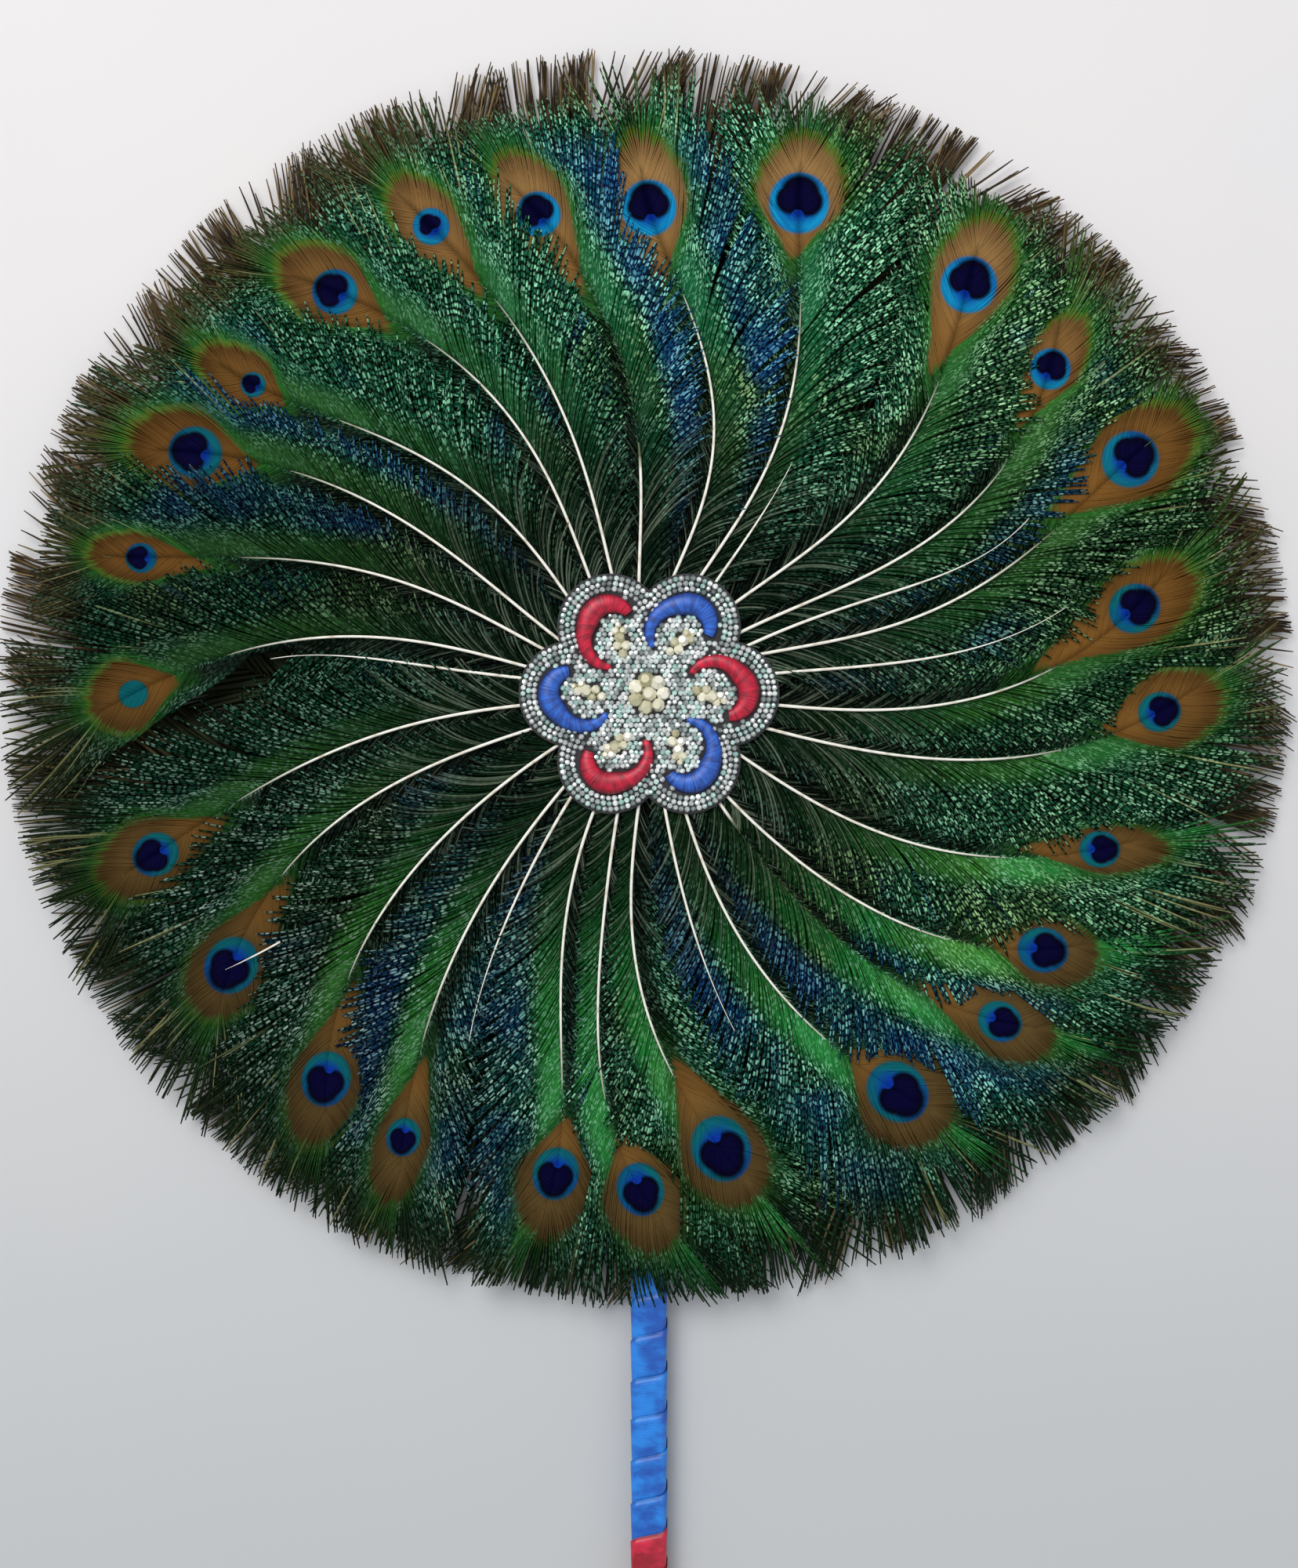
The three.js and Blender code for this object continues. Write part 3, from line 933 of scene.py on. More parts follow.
@dataclass(frozen=True)
class RearBarbFinish:
    """Dull backs of the rear feathers, brown with beige tips."""

    brown: Colour = srgb(40, 31, 18)
    tan: Colour = srgb(78, 62, 38)
    beige: Colour = srgb(168, 146, 102)
    olive: Colour = srgb(30, 38, 18)
    green: Colour = srgb(13, 38, 15)
    tip_start: Span = (140.0, 176.0)
    """Millimetres from the hub between which the tips' colour begins."""

    def make(self) -> bpy.types.Material:
        """Build the material.

        Returns:
            The material for the barbs of the rear feathers.
        """
        paint = Paint("rear barbs")
        chart = Chart(paint)
        north = (chart.y - chart.west * 50.0).ease(-150.0, 10.0)
        tip = paint.blend(paint.noise(chart.place, 160.0).ease(0.3, 0.75), self.brown, self.tan)
        tip = paint.blend(chart.chance.ease(0.74, 1.0) * 0.6, tip, self.beige)
        southern = paint.blend(chart.chance.ease(0.5, 1.0) * 0.6, self.green, tip)
        tip = paint.blend(north, southern, tip)
        colour = paint.blend(chart.radius.ease(*self.tip_start), self.olive, tip)
        paint.surface(Base_Color=colour, Roughness=0.62, Specular_IOR_Level=0.15)
        paint.relief(chart.run.wave(18.0), BARB_RELIEF, 0.5)
        return paint.material


@dataclass(frozen=True)
class ShaftFinish:
    """Ivory shafts that darken where they run into the eye."""

    ivory: Colour = srgb(232, 230, 220)
    stain: Colour = srgb(186, 176, 152)
    brown: Colour = srgb(64, 76, 32)

    def make(self) -> bpy.types.Material:
        """Build the material.

        Returns:
            The material for quills and shafts.
        """
        paint = Paint("feather shafts")
        place = paint.place()
        stain = paint.noise(place, 300.0, 3.0)
        colour = paint.blend(stain.ease(0.45, 0.8), self.ivory, self.stain)
        colour = paint.blend(paint.trait("shaft_pale"), self.brown, colour)
        paint.surface(Base_Color=colour, Roughness=0.38 + stain * 0.2)
        paint.relief(stain, 0.1 * MM, 0.4)
        return paint.material


@dataclass(frozen=True)
class BarbSet:
    """One kind of barbs along the shaft."""

    label: str
    sections: int
    """Straight steps along one barb."""
    rise: float
    """Metres above the vane's middle."""
    scatter: float
    """Random height of each barb in metres."""
    swing: float
    """Random angle of each barb in radians."""
    lanes: int = 1
    """Barbs that one strand stands for."""
    root: float = 0.45
    """Width at the root as a share of the full width."""
    crest: float = 0.45
    """Height of the strand's ridge as a share of its half width."""


@dataclass(frozen=True)
class Spread:
    """How one set of barbs is spread along a shaft."""

    start: float
    end: float
    """Shares of the shaft between which the barbs leave it."""
    count: int
    """Barbs on each side."""
    clump: float
    """How fast their random bend changes from one barb to the next."""
    waver: float
    """Degrees of that bend."""
    half_width: float
    """Half of a barb's width in millimetres."""

    def inputs(self, kind: BarbSet) -> dict[str, float]:
        """The feather tree's inputs for this set of barbs.

        Args:
            kind: The set of barbs.

        Returns:
            Values by the inputs' names, with underscores for spaces.
        """
        names = ("Start", "End", "Count", "Clump", "Waver", "Half_Width")
        waver, half_width = math.radians(self.waver), self.half_width * MM
        values = (self.start, self.end, self.count, self.clump, waver, half_width)
        return {f"{kind.label}_{name}": value for name, value in zip(names, values)}


class ShaftTree(Growth):
    """Grows a round shaft on its path."""

    SIDES = 10

    def __init__(self, name: str, material: bpy.types.Material, layer: Layer = Layer.FRONT) -> None:
        """Start the tree with its shaft.

        Args:
            name: Name of the tree.
            material: Material of the shaft.
            layer: Which way the feather's face looks.
        """
        super().__init__(name)
        self.layer = layer
        self.path = self.node("GeometryNodeMeshToCurve", {}, {"Mesh": self.geometry()})
        self.parts = [self.shaft(material)]

    def shaft(self, material: bpy.types.Material) -> Value:
        """Round shaft that tapers to the tip.

        Args:
            material: Its material.

        Returns:
            The closed shaft.
        """
        factor = self.node("GeometryNodeSplineParameter", out="Factor")
        section = {"Resolution": self.SIDES, "Radius": 1.0}
        ring = self.node("GeometryNodeCurvePrimitiveCircle", {"mode": "RADIUS"}, section)
        ring = self.store(ring, **{Trait.ACROSS.value: factor * 2.0 - 1.0})
        lift = self.vector(z=self.stored("shaft_lift") * float(self.layer.value))
        raised = self.node("GeometryNodeSetPosition", {}, {"Geometry": self.path, "Offset": lift})
        raised = self.store(raised, **{Trait.ALONG.value: factor})
        sweep = {
            "Curve": raised, "Profile Curve": ring, "Scale": self.stored("shaft_radius"), "Fill Caps": True,
        }
        return self.dress(self.node("GeometryNodeCurveToMesh", {}, sweep), material)

    def finish(self) -> None:
        """Join the parts and send them out of the tree."""
        self.close(self.node("GeometryNodeJoinGeometry", {}, {"Geometry": self.parts}))


class FeatherTree(ShaftTree):
    """Grows one feather on its shaft's path: the shaft, and the barbs of its down, its vane and its eye."""

    BARBS = BarbSet("Barb", 9, 0.0, 0.4 * MM, math.radians(4.0))
    DOWN = BarbSet("Down", 6, -0.75 * MM, 0.15 * MM, math.radians(5.0), lanes=3, crest=0.2)
    EYE = BarbSet("Eye", 8, 0.5 * MM, 0.05 * MM, math.radians(0.8), root=0.9, crest=0.2)
    LEAST_CURL = 0.0123
    """Radians that keep an arc from being straight, which its formula can't take."""
    FAR = 10.0
    """Metres, more than any barb needs."""
    SAG_START = 0.15
    """Metres from the hub at which the barbs begin to sag."""
    STICK_SIDE, STICK_REACH = (0.14, 0.014), (-0.08, -0.14)
    """Metres across and along the stick between which it comes to hold up the barbs."""
    STICK_HOLD = 0.85
    """Share of the sag that the stick takes away."""

    def __init__(self, layer: Layer, barb: bpy.types.Material, shaft: bpy.types.Material) -> None:
        """Build the tree of one layer.

        Args:
            layer: Which way the feather's face looks.
            barb: Material of the vane.
            shaft: Material of the shaft.
        """
        super().__init__(f"{layer.name.lower()} feather", shaft, layer)
        self.rows: Value | float = 1.0
        self.seed = self.size("Seed", "NodeSocketInt")
        self.rim = self.size("Rim Radius")
        self.ragged = self.size("Rim Ragged")
        self.lay = self.size("Lay Rise")
        self.droop = self.size("Droop")
        self.keep_centre = self.size("Keep Clear Centre", "NodeSocketVector")
        self.keep_radius = self.size("Keep Clear Radius")
        self.eye_centre = self.size("Eye Centre", "NodeSocketVector")
        self.eye_axis = self.size("Eye Axis", "NodeSocketVector")
        self.disc = self.size("Disc Half Width")
        self.oval = self.size("Bronze Reach", "NodeSocketVector")
        self.blueness = self.size("Blueness")
        self.pupil = self.size("Pupil Size")
        kinds = [self.DOWN, self.BARBS] + ([self.EYE] if layer is Layer.FRONT else [])
        self.parts += [self.barbs(kind, barb, seed) for seed, kind in enumerate(kinds, 1)]
        self.finish()

    def strand(self, sections: int) -> Value:
        """Unit barb: a three-sided rod that knows how far along and across each point is.

        Args:
            sections: Straight steps along it.

        Returns:
            The rod.
        """
        inputs = {"Vertices": 3, "Side Segments": sections, "Radius": 1.0, "Depth": 1.0}
        rod = self.node("GeometryNodeMeshCylinder", {"fill_type": "NGON"}, inputs)
        spot = self.position()
        traits = {
            Trait.ALONG.value: spot.part("Z") + 0.5,
            Trait.ACROSS.value: spot.part("Y"),
            "barb_crest": spot.part("X"),
        }
        return self.store(rod, **traits)

    def roots(self, kind: BarbSet, seed: int) -> Value:
        """Points where a set of barbs leaves the shaft, one on each side, with what each barb needs.

        Args:
            kind: The set of barbs.
            seed: Number that sets this set's random draws apart.

        Returns:
            The points.
        """
        label, key = kind.label, kind.label.lower()
        start, end = self.size(f"{label} Start"), self.size(f"{label} End")
        count = self.size(f"{label} Count", "NodeSocketInt")
        part = self.node("GeometryNodeTrimCurve", {"mode": "FACTOR"}, {0: self.path, 2: start, 3: end})
        even = self.node("GeometryNodeCurveToPoints", {"mode": "COUNT"}, {"Curve": part, "Count": count})
        tangent = Value(self, even.socket.node.outputs["Tangent"])
        points = self.store(even, barb_ahead=tangent, barb_place=self.index())
        pair = {"Geometry": points, "Amount": 2}
        twins = self.node("GeometryNodeDuplicateElements", {"domain": "POINT"}, pair)
        copy = Value(self, twins.socket.node.outputs["Duplicate Index"])
        points = self.store(twins, barb_side=copy * 2.0 - 1.0)
        draw = self.seed * 10.0 + float(seed)
        side, ahead = self.stored("barb_side"), self.stored("barb_ahead", "FLOAT_VECTOR")
        outward = self.cross_up(ahead) * side
        clump = self.stored("barb_place") * self.size(f"{label} Clump")
        wave = self.noise(self.vector(clump, side * 3.7, self.seed * 1.3), 1.0, 1.0)
        swing = self.chance(-kind.swing, kind.swing, draw)
        splay = self.stored(f"{key}_splay") + swing
        curl = self.stored(f"{key}_curl") + (wave - 0.5) * self.size(f"{label} Waver") + swing * 0.5
        curl = curl + self.LEAST_CURL
        share = side * 0.5 + 0.5
        reach = self.between(share, self.stored(f"{key}_reach_cw"), self.stored(f"{key}_reach_ccw"))
        reach = reach * self.chance(0.92, 1.04, draw + 1.0)
        way = splay + curl * 0.5
        flat = ahead * way.apply("COSINE") + outward * way.apply("SINE")
        root = self.position()
        root_flat = root * (1.0, 1.0, 0.0)
        along_ray = root_flat.dot(flat)
        rim = self.rim - self.chance(0.0, 1.0, draw + 2.0) ** 2.0 * self.ragged
        beyond = along_ray * along_ray + rim * rim - root_flat.dot(root_flat)
        room = beyond.most(0.0).apply("SQRT") - along_ray
        room = room.least(self.clear_run(root_flat, flat) + share * self.FAR)
        bow = (curl * 0.5) / (curl * 0.5).apply("SINE")
        traits = {
            "barb_root": root,
            "barb_out": outward,
            "barb_splay": splay,
            "barb_curl": curl,
            "barb_level": self.chance(-kind.scatter, kind.scatter, draw + 3.0) + kind.rise * self.layer.value,
            Trait.RANDOM.value: self.chance(0.0, 1.0, draw + 4.0),
            Trait.LENGTH.value: reach.least(room.most(0.5 * MM) * bow),
            Trait.ROW.value: self.index() + self.rows,
        }
        self.rows = count * 2.0 + self.rows
        return self.store(points, **traits)

    def clear_run(self, root: Value, way: Value) -> Value:
        """How far a barb may go before it lies over the eye of the clockwise feather.

        Args:
            root: Where the barb leaves its shaft.
            way: The barb's direction.

        Returns:
            The distance to the circle that is kept clear, and much more where the barb passes it by.
        """
        toward = self.keep_centre - root
        nearest = toward.dot(way)
        chord = self.keep_radius * self.keep_radius - toward.dot(toward) + nearest * nearest
        hits = self.combine("GREATER_THAN", chord, 0.0) * self.combine("GREATER_THAN", nearest, 0.0)
        return nearest - chord.most(0.0).apply("SQRT") + (1.0 - hits) * self.FAR

    def cross_up(self, vector: Value) -> Value:
        """Vector turned a quarter turn anticlockwise seen from above."""
        return self.combine("CROSS_PRODUCT", UP, vector)

    def barbs(self, kind: BarbSet, material: bpy.types.Material, seed: int) -> Value:
        """One set of barbs, each bent along its own arc and laid over the clockwise neighbour.

        Args:
            kind: The set of barbs.
            material: Their material.
            seed: Number that sets this set's random draws apart.

        Returns:
            The closed barbs.
        """
        width = self.size(f"{kind.label} Half Width")
        rods = self.scatter(self.roots(kind, seed), self.strand(kind.sections))
        along, length = self.stored(Trait.ALONG.value), self.stored(Trait.LENGTH.value)
        across, side = self.stored(Trait.ACROSS.value), self.stored("barb_side")
        splay, curl = self.stored("barb_splay"), self.stored("barb_curl")
        ahead, out, root = (self.stored(f"barb_{name}", "FLOAT_VECTOR") for name in ("ahead", "out", "root"))
        heading = splay + curl * along
        forward = (heading.apply("SINE") - splay.apply("SINE")) / curl * length
        aside = (splay.apply("COSINE") - heading.apply("COSINE")) / curl * length
        middle = root + ahead * forward + out * aside
        normal = (out * heading.apply("COSINE") - ahead * heading.apply("SINE")) * -side
        taper = (along * 2.2 + kind.root).least(1.0) * (1.0 - along ** 6.0 * 0.55)
        breadth = taper * width
        lean = self.lay * side * aside / (root * (1.0, 1.0, 0.0)).length() * -1.0
        by_stick = middle.part("X").apply("ABSOLUTE").ease(*self.STICK_SIDE)
        by_stick = by_stick * middle.part("Y").ease(*self.STICK_REACH)
        past = ((middle * (1.0, 1.0, 0.0)).length() - self.SAG_START).most(0.0)
        sag = past ** 2.0 * self.droop * (1.0 - by_stick * self.STICK_HOLD)
        height = self.stored("barb_level") + lean - sag + self.stored("barb_crest") * breadth * kind.crest
        spot = middle + normal * (across * breadth) + self.vector(z=height)
        laid = self.node("GeometryNodeSetPosition", {}, {"Geometry": rods, "Position": spot})
        away = self.position() - self.eye_centre
        ahead_of_eye, beside_eye = away.dot(self.eye_axis), away.dot(self.cross_up(self.eye_axis))
        rimward = ahead_of_eye.most(0.0) / self.oval.part("X")
        hubward = ahead_of_eye.least(0.0) / self.oval.part("Y")
        traits = {
            Trait.ASIDE.value: aside * side,
            Trait.LANE.value: (across / math.sqrt(3.0) + 0.5) * float(kind.lanes),
            Trait.EYE.value: self.vector(ahead_of_eye / self.disc, beside_eye / self.disc, self.blueness),
            Trait.BRONZE.value: self.vector(rimward + hubward, beside_eye / self.oval.part("Z"), self.pupil),
        }
        return self.dress(self.store(laid, **traits), material)


@dataclass
class Feathers:
    """Both layers of feathers, laid as the CAD lays them."""

    rim: float = 204 * MM
    handle_trim: float = 13.5 * MM
    """How much closer the rim is cut on the handle's side."""
    west_spread: float = 2.5 * MM
    """How much further the rim goes on the left."""
    front_short: float = 12 * MM
    """How far the front feathers' green stops short of the rim, away from the handle."""
    quill_start: float = 18 * MM
    keep_radius: float = 22 * MM
    """Radius of the circle round an eye's open side that the next feather's barbs keep clear of."""
    rear_radius: float = 156.0
    rear_lags: tuple[float, float, float] = (-12.0, -12.0, -8.5)
    """Course of a rear shaft, in the millimetres and degrees of Course."""
    quill_radius: float = 1.1 * MM
    """Radius of the CAD quill, which sets the height of each layer."""
    shaft_radii: tuple[float, float, float] = (0.56 * MM, 0.37 * MM, 0.12 * MM)
    """Radius of the drawn shaft at the hub, halfway and at the eye."""
    shaft_lift: float = 1.0 * MM
    shaft_fade: tuple[float, float] = (104 * MM, 136 * MM)
    """Distances from the hub between which the ivory turns brown."""
    seat_gap: float = 0.3 * MM
    front_rise: float = 5.73 * MM
    """Metres that a front feather rises over its clockwise neighbour for each radian."""
    rear_rise: float = 3.18 * MM
    rear_count: int = 20
    path_points: int = 64
    past_eye: float = 12 * MM
    """How far the shaft runs on past the middle of the eye."""
    eye_barbs: float = 40 * MM
    """Length of shaft before the eye's middle that bears the eye's barbs."""
    down_end: float = 182 * MM
    """Distance from the hub within which the front feathers' down stays."""
    rear_tip: float = 176 * MM
    ragged: float = 4 * MM
    """How unevenly the barbs end at the rim."""
    droop: float = 2.0
    """Metres that the front barbs sag for each square metre past the start of the sag."""
    hidden_rise: float = 0.8 * MM
    trees: dict[Layer, FeatherTree] = field(default_factory=dict)

    FRONT_BARBS, FRONT_DOWN = Spread(0.03, 1.0, 200, 0.19, 25, 0.5), Spread(0.03, 0.9, 70, 0.2, 14, 1.3)
    REAR_BARBS, REAR_DOWN = Spread(0.05, 1.0, 165, 0.32, 17, 0.43), Spread(0.05, 0.9, 44, 0.3, 14, 1.4)
    NO_EYE = {
        "Keep_Clear_Centre": (0.0, 0.0, 0.0), "Keep_Clear_Radius": 0.0, "Eye_Centre": (0.0, 0.0, 0.0),
        "Eye_Axis": (1.0, 0.0, 0.0), "Disc_Half_Width": 1.0, "Bronze_Reach": (1.0, 1.0, 1.0), "Blueness": 0.0,
        "Pupil_Size": 1.0,
    }
    """Inputs of a rear feather, which has no eye."""
    MAP_COLUMNS = 8
    MAP_MARGIN = 0.03
    """Share of a column that stays free at each end of a barb's row."""
    MAP_HALF_ROW = 0.4
    """Half width of a barb's row, as a share of the rows' distance."""

    def build(self) -> None:
        """Grow every feather of both layers."""
        shaft = ShaftFinish().make()
        self.trees[Layer.FRONT] = FeatherTree(Layer.FRONT, FrontBarbFinish().make(), shaft)
        self.trees[Layer.REAR] = FeatherTree(Layer.REAR, RearBarbFinish().make(), shaft)
        hub_low, hub_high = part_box("hub_disc")
        front_plane = hub_high.z + self.seat_gap + self.quill_radius
        rear_plane = hub_low.z - self.seat_gap - self.quill_radius
        for number in range(len(EYES)):
            self.front(number, front_plane)
        for number in range(self.rear_count):
            self.rear(number, rear_plane)
        self.hidden(front_plane, shaft)

    def path(self, name: str, course: Course, tip: float, height: float, traits: dict[str, np.ndarray],
             start: float = 0.0, pale_end: float = 0.0, slender: float = 1.0) -> bpy.types.Mesh:
        """Line of the shaft with its sizes.

        Args:
            name: Name of the mesh.
            course: The way the shaft takes.
            tip: Distance from the hub to the shaft's end.
            height: Height of the vane's middle.
            traits: Numbers along the shaft.
            start: Distance from the hub to the shaft's start, if not the usual one.
            pale_end: Distance from the hub to which the shaft stays pale, if not the usual one.
            slender: Thickness of the shaft, 1 for a usual one.

        Returns:
            The line as a mesh.
        """
        radii = np.linspace(start or self.quill_start, tip, self.path_points)
        points = polar_rows(radii, course.angle(radii), height)
        share = (radii - radii[0]) / (tip - radii[0])
        thick = slender * np.interp(share, (0.0, 0.6, 0.85, 1.0), (*self.shaft_radii, self.shaft_radii[-1]))
        sink = float(np.interp(pale_end, radii, share)) if pale_end else 0.65
        under = sink + (0.05 if pale_end else 0.2)
        lift = self.shaft_lift * np.interp(share, (0.0, sink, under), (1.0, 1.0, -0.6))
        fade = (pale_end - 2 * MM, pale_end + 2 * MM) if pale_end else self.shaft_fade
        pale = np.interp(radii, fade, (1.0, 0.0))
        edges = [(k, k + 1) for k in range(len(points) - 1)]
        return new_mesh(name, points, edges, shaft_radius=thick, shaft_lift=lift, shaft_pale=pale, **traits)

    @staticmethod
    def room(first: Course, second: Course, radii: np.ndarray) -> np.ndarray:
        """Radians from the clockwise one of two shafts to the other, at distances from the hub."""
        return (second.angle(radii) - first.angle(radii)) % math.tau

    def open_side(self, eye: Eye) -> Vector:
        """Middle of the circle that the next feather keeps clear of, so that it shows the eye's open side.

        Args:
            eye: The clockwise feather's eye.

        Returns:
            The x and y of the circle's middle.
        """
        near, middle, far = (eye.point((eye.radius + ahead) * MM) for ahead in (-6, 3, 6))
        axis = (far - near).normalized()
        shown = (eye.bronze[2] - eye.covered) * MM
        return middle + Vector((axis.y, -axis.x)) * (self.keep_radius - shown)

    def rim_at(self, bearing: float) -> float:
        """Distance from the hub to the trimmed rim at a bearing."""
        trim = self.handle_trim * max(0.0, -math.sin(bearing))
        return self.rim - trim + self.west_spread * max(0.0, -math.cos(bearing))

    def grow(self, layer: Layer, number: int, mesh: bpy.types.Mesh, **sizes: Any) -> None:
        """Grow one feather and let it stand for its CAD node.

        Args:
            layer: The feather's layer.
            number: Its place in the layer.
            mesh: Its shaft's path.
            **sizes: Inputs of the layer's tree.
        """
        side, place = layer.name.lower(), f"{number + 1:02d}"
        piece = self.trees[layer].grow(f"{side}_plume_{place}", mesh, Rim_Ragged=self.ragged, **sizes)
        self.lay_map(piece)
        settle(piece, f"{side}_feather", f"{side}_feather_{place}")

    def front_barbs(self, number: int, radii: np.ndarray, share: np.ndarray) -> dict[str, np.ndarray]:
        """How the barbs of a front feather leave its shaft.

        Args:
            number: Place in the list of eyes.
            radii: Distances of the shaft's points from the hub.
            share: The same distances, from 0 at the shaft's start to 1 at its end.

        Returns:
            Splay, curl and reach along the shaft for each set of barbs.
        """
        eye, clockwise, anticlockwise = EYES[number], EYES[number - 1], EYES[(number + 1) % len(EYES)]
        stops = (0.0, 0.1, 0.3, 0.55, 0.75, 0.88, 0.96, 1.0)
        splay = np.radians(np.interp(share, stops, (26, 24, 22, 25, 30, 32, 24, 4)))
        curl = np.radians(np.interp(share, stops, (16, 26, 34, 26, 0, -20, -16, -4)))
        reach = MM * np.interp(share, stops, (20, 22, 28, 36, 44, 46, 44, 42))
        ends = radii + 0.7 * reach
        room_cw, room_ccw = self.room(clockwise, eye, ends), self.room(eye, anticlockwise, ends)
        wide = np.clip((np.maximum(room_cw, room_ccw) * ends / MM - 48) / 24, 0, 1)
        wide *= np.interp(share, (0.5, 0.75, 0.96, 1.0), (0.0, 1.0, 0.8, 0.0))
        splay += np.radians(14) * wide
        curl += np.radians(12) * wide
        slant = np.sin(splay + curl / 2)
        keep_clear = MM * np.interp(ends / MM, (60, 112, 138, 195), (3, 5, 6, 5))
        keep_clear += MM * clockwise.gap * np.interp(ends / MM, (105, 125, 160, 175), (0, 1, 1, 0))
        reach_cw = np.clip(room_cw * ends - keep_clear, 5 * MM, 62 * MM) / np.maximum(slant, 0.12)
        reach_cw = np.minimum(reach_cw, np.maximum(reach * 1.25, room_cw * ends))
        reach_ccw = np.maximum(reach, 0.75 * room_ccw * ends)
        if eye.gap:
            reach_ccw = np.minimum(reach_ccw, MM * np.interp(radii / MM, (90, 108, 148, 162), (60, 4, 4, 60)))
        past = (radii - eye.radius * MM) / MM
        eye_reach = MM * np.interp(past, (-40, -20, 12), (18, 28, 26))
        return {
            "barb_splay": splay, "barb_curl": curl, "barb_reach_cw": reach_cw, "barb_reach_ccw": reach_ccw,
            "down_splay": splay * 1.15, "down_curl": curl,
            "down_reach_cw": np.minimum(reach_cw * 0.8, self.down_end - radii),
            "down_reach_ccw": np.minimum(reach_ccw * 0.8, self.down_end - radii),
            "eye_splay": np.radians(np.interp(past, (-40, 0, 8, 12), (40, 44, 34, 3))),
            "eye_curl": np.radians(np.interp(past, (-40, 0, 12), (-26, -24, -4))),
            "eye_reach_cw": eye_reach, "eye_reach_ccw": eye_reach,
        }

    def front(self, number: int, plane: float) -> None:
        """Grow one front feather.

        Args:
            number: Place in the list of eyes.
            plane: Height of the vanes' middle.
        """
        eye = EYES[number]
        bearing, eye_radius, bronze = math.radians(eye.bearing), eye.radius * MM, Vector(eye.bronze) * MM
        tip = eye_radius + self.past_eye
        radii = np.linspace(self.quill_start, tip, self.path_points)
        share = (radii - self.quill_start) / (tip - self.quill_start)
        traits = self.front_barbs(number, radii, share)
        mesh = self.path(f"front_path_{number + 1:02d}", eye, tip, plane, traits, pale_end=eye.shaft_end * MM)
        near, far = (eye.point(eye_radius + ahead * MM) for ahead in (-8, 8))
        axis = ((far - near).normalized() + eye.point(1.0) * 0.8).normalized()
        upper = min(1.0, max(0.0, math.sin(bearing) + 0.3))
        uneven = 0.8 + 0.5 * math.sin(2.4 * number)
        rim = self.rim_at(bearing)
        green_end = max(eye_radius + bronze.x + 8 * MM, rim - self.front_short * upper * uneven)
        eye_start = float(np.interp(eye_radius - self.eye_barbs, radii, share))
        self.grow(
            Layer.FRONT, number, mesh,
            Seed=number + 1,
            Rim_Radius=min(green_end, rim),
            Lay_Rise=self.front_rise,
            Droop=self.droop,
            Keep_Clear_Centre=(*self.open_side(EYES[number - 1]), 0.0),
            Keep_Clear_Radius=self.keep_radius,
            Eye_Centre=(*eye.point(eye_radius), plane),
            Eye_Axis=(axis.x, axis.y, 0.0),
            Disc_Half_Width=eye.disc * MM,
            Bronze_Reach=bronze,
            Blueness=eye.blue,
            Pupil_Size=eye.pupil,
            **self.FRONT_BARBS.inputs(FeatherTree.BARBS),
            **self.FRONT_DOWN.inputs(FeatherTree.DOWN),
            **Spread(eye_start, 1.0, 124, 0.1, 5, 0.34).inputs(FeatherTree.EYE),
        )

    def rear(self, number: int, plane: float) -> None:
        """Grow one rear feather.

        Args:
            number: Place round the fan.
            plane: Height of the vanes' middle.
        """
        bearing = math.tau * (number + 0.5) / self.rear_count
        share = np.linspace(0, 1, self.path_points)
        stops = (0.0, 0.12, 0.3, 0.55, 0.75, 0.88, 0.96, 1.0)
        splay = np.radians(np.interp(share, stops, (18, 20, 22, 25, 28, 28, 20, 4)))
        curl = np.radians(np.interp(share, stops, (30, 32, 30, 14, -12, -16, -10, -2)))
        reach = MM * np.interp(share, stops, (8, 18, 30, 60, 80, 62, 50, 44))
        traits = {
            "barb_splay": splay, "barb_curl": curl, "barb_reach_cw": reach, "barb_reach_ccw": reach,
            "down_splay": splay * 1.1, "down_curl": curl,
            "down_reach_cw": reach * 0.6, "down_reach_ccw": reach * 0.6,
        }
        course = Course(math.degrees(bearing), self.rear_radius, self.rear_lags)
        mesh = self.path(f"rear_path_{number + 1:02d}", course, self.rear_tip, plane, traits)
        self.grow(
            Layer.REAR, number, mesh,
            Seed=100 + number,
            Rim_Radius=self.rim_at(bearing),
            Lay_Rise=self.rear_rise,
            Droop=0.0,
            **self.NO_EYE,
            **self.REAR_BARBS.inputs(FeatherTree.BARBS),
            **self.REAR_DOWN.inputs(FeatherTree.DOWN),
        )

    def hidden(self, plane: float, material: bpy.types.Material) -> None:
        """Shafts of the feathers that lie under the others.

        Args:
            plane: Height of the vanes' middle.
            material: The shafts' material.
        """
        tree = ShaftTree("hidden shaft", material)
        tree.finish()
        for number, feather in enumerate(HIDDEN, 1):
            start, end, height = feather.start * MM, feather.end * MM, plane + self.hidden_rise
            mesh = self.path(f"hidden_path_{number}", feather, end, height, {}, start, end, feather.slender)
            settle(tree.grow(f"hidden_shaft_{number}", mesh), "front_feather")

    def lay_map(self, piece: bpy.types.Object) -> None:
        """Lay every barb on its own row of a map, so that a bake keeps them apart.

        Args:
            piece: A grown feather.
        """
        mesh = piece.data

        def numbers(trait: Trait) -> np.ndarray:
            """One stored number for each point.

            Args:
                trait: Which number.

            Returns:
                The numbers.
            """
            values = np.zeros(len(mesh.vertices), np.float32)
            mesh.attributes[trait.value].data.foreach_get("value", values)
            return values

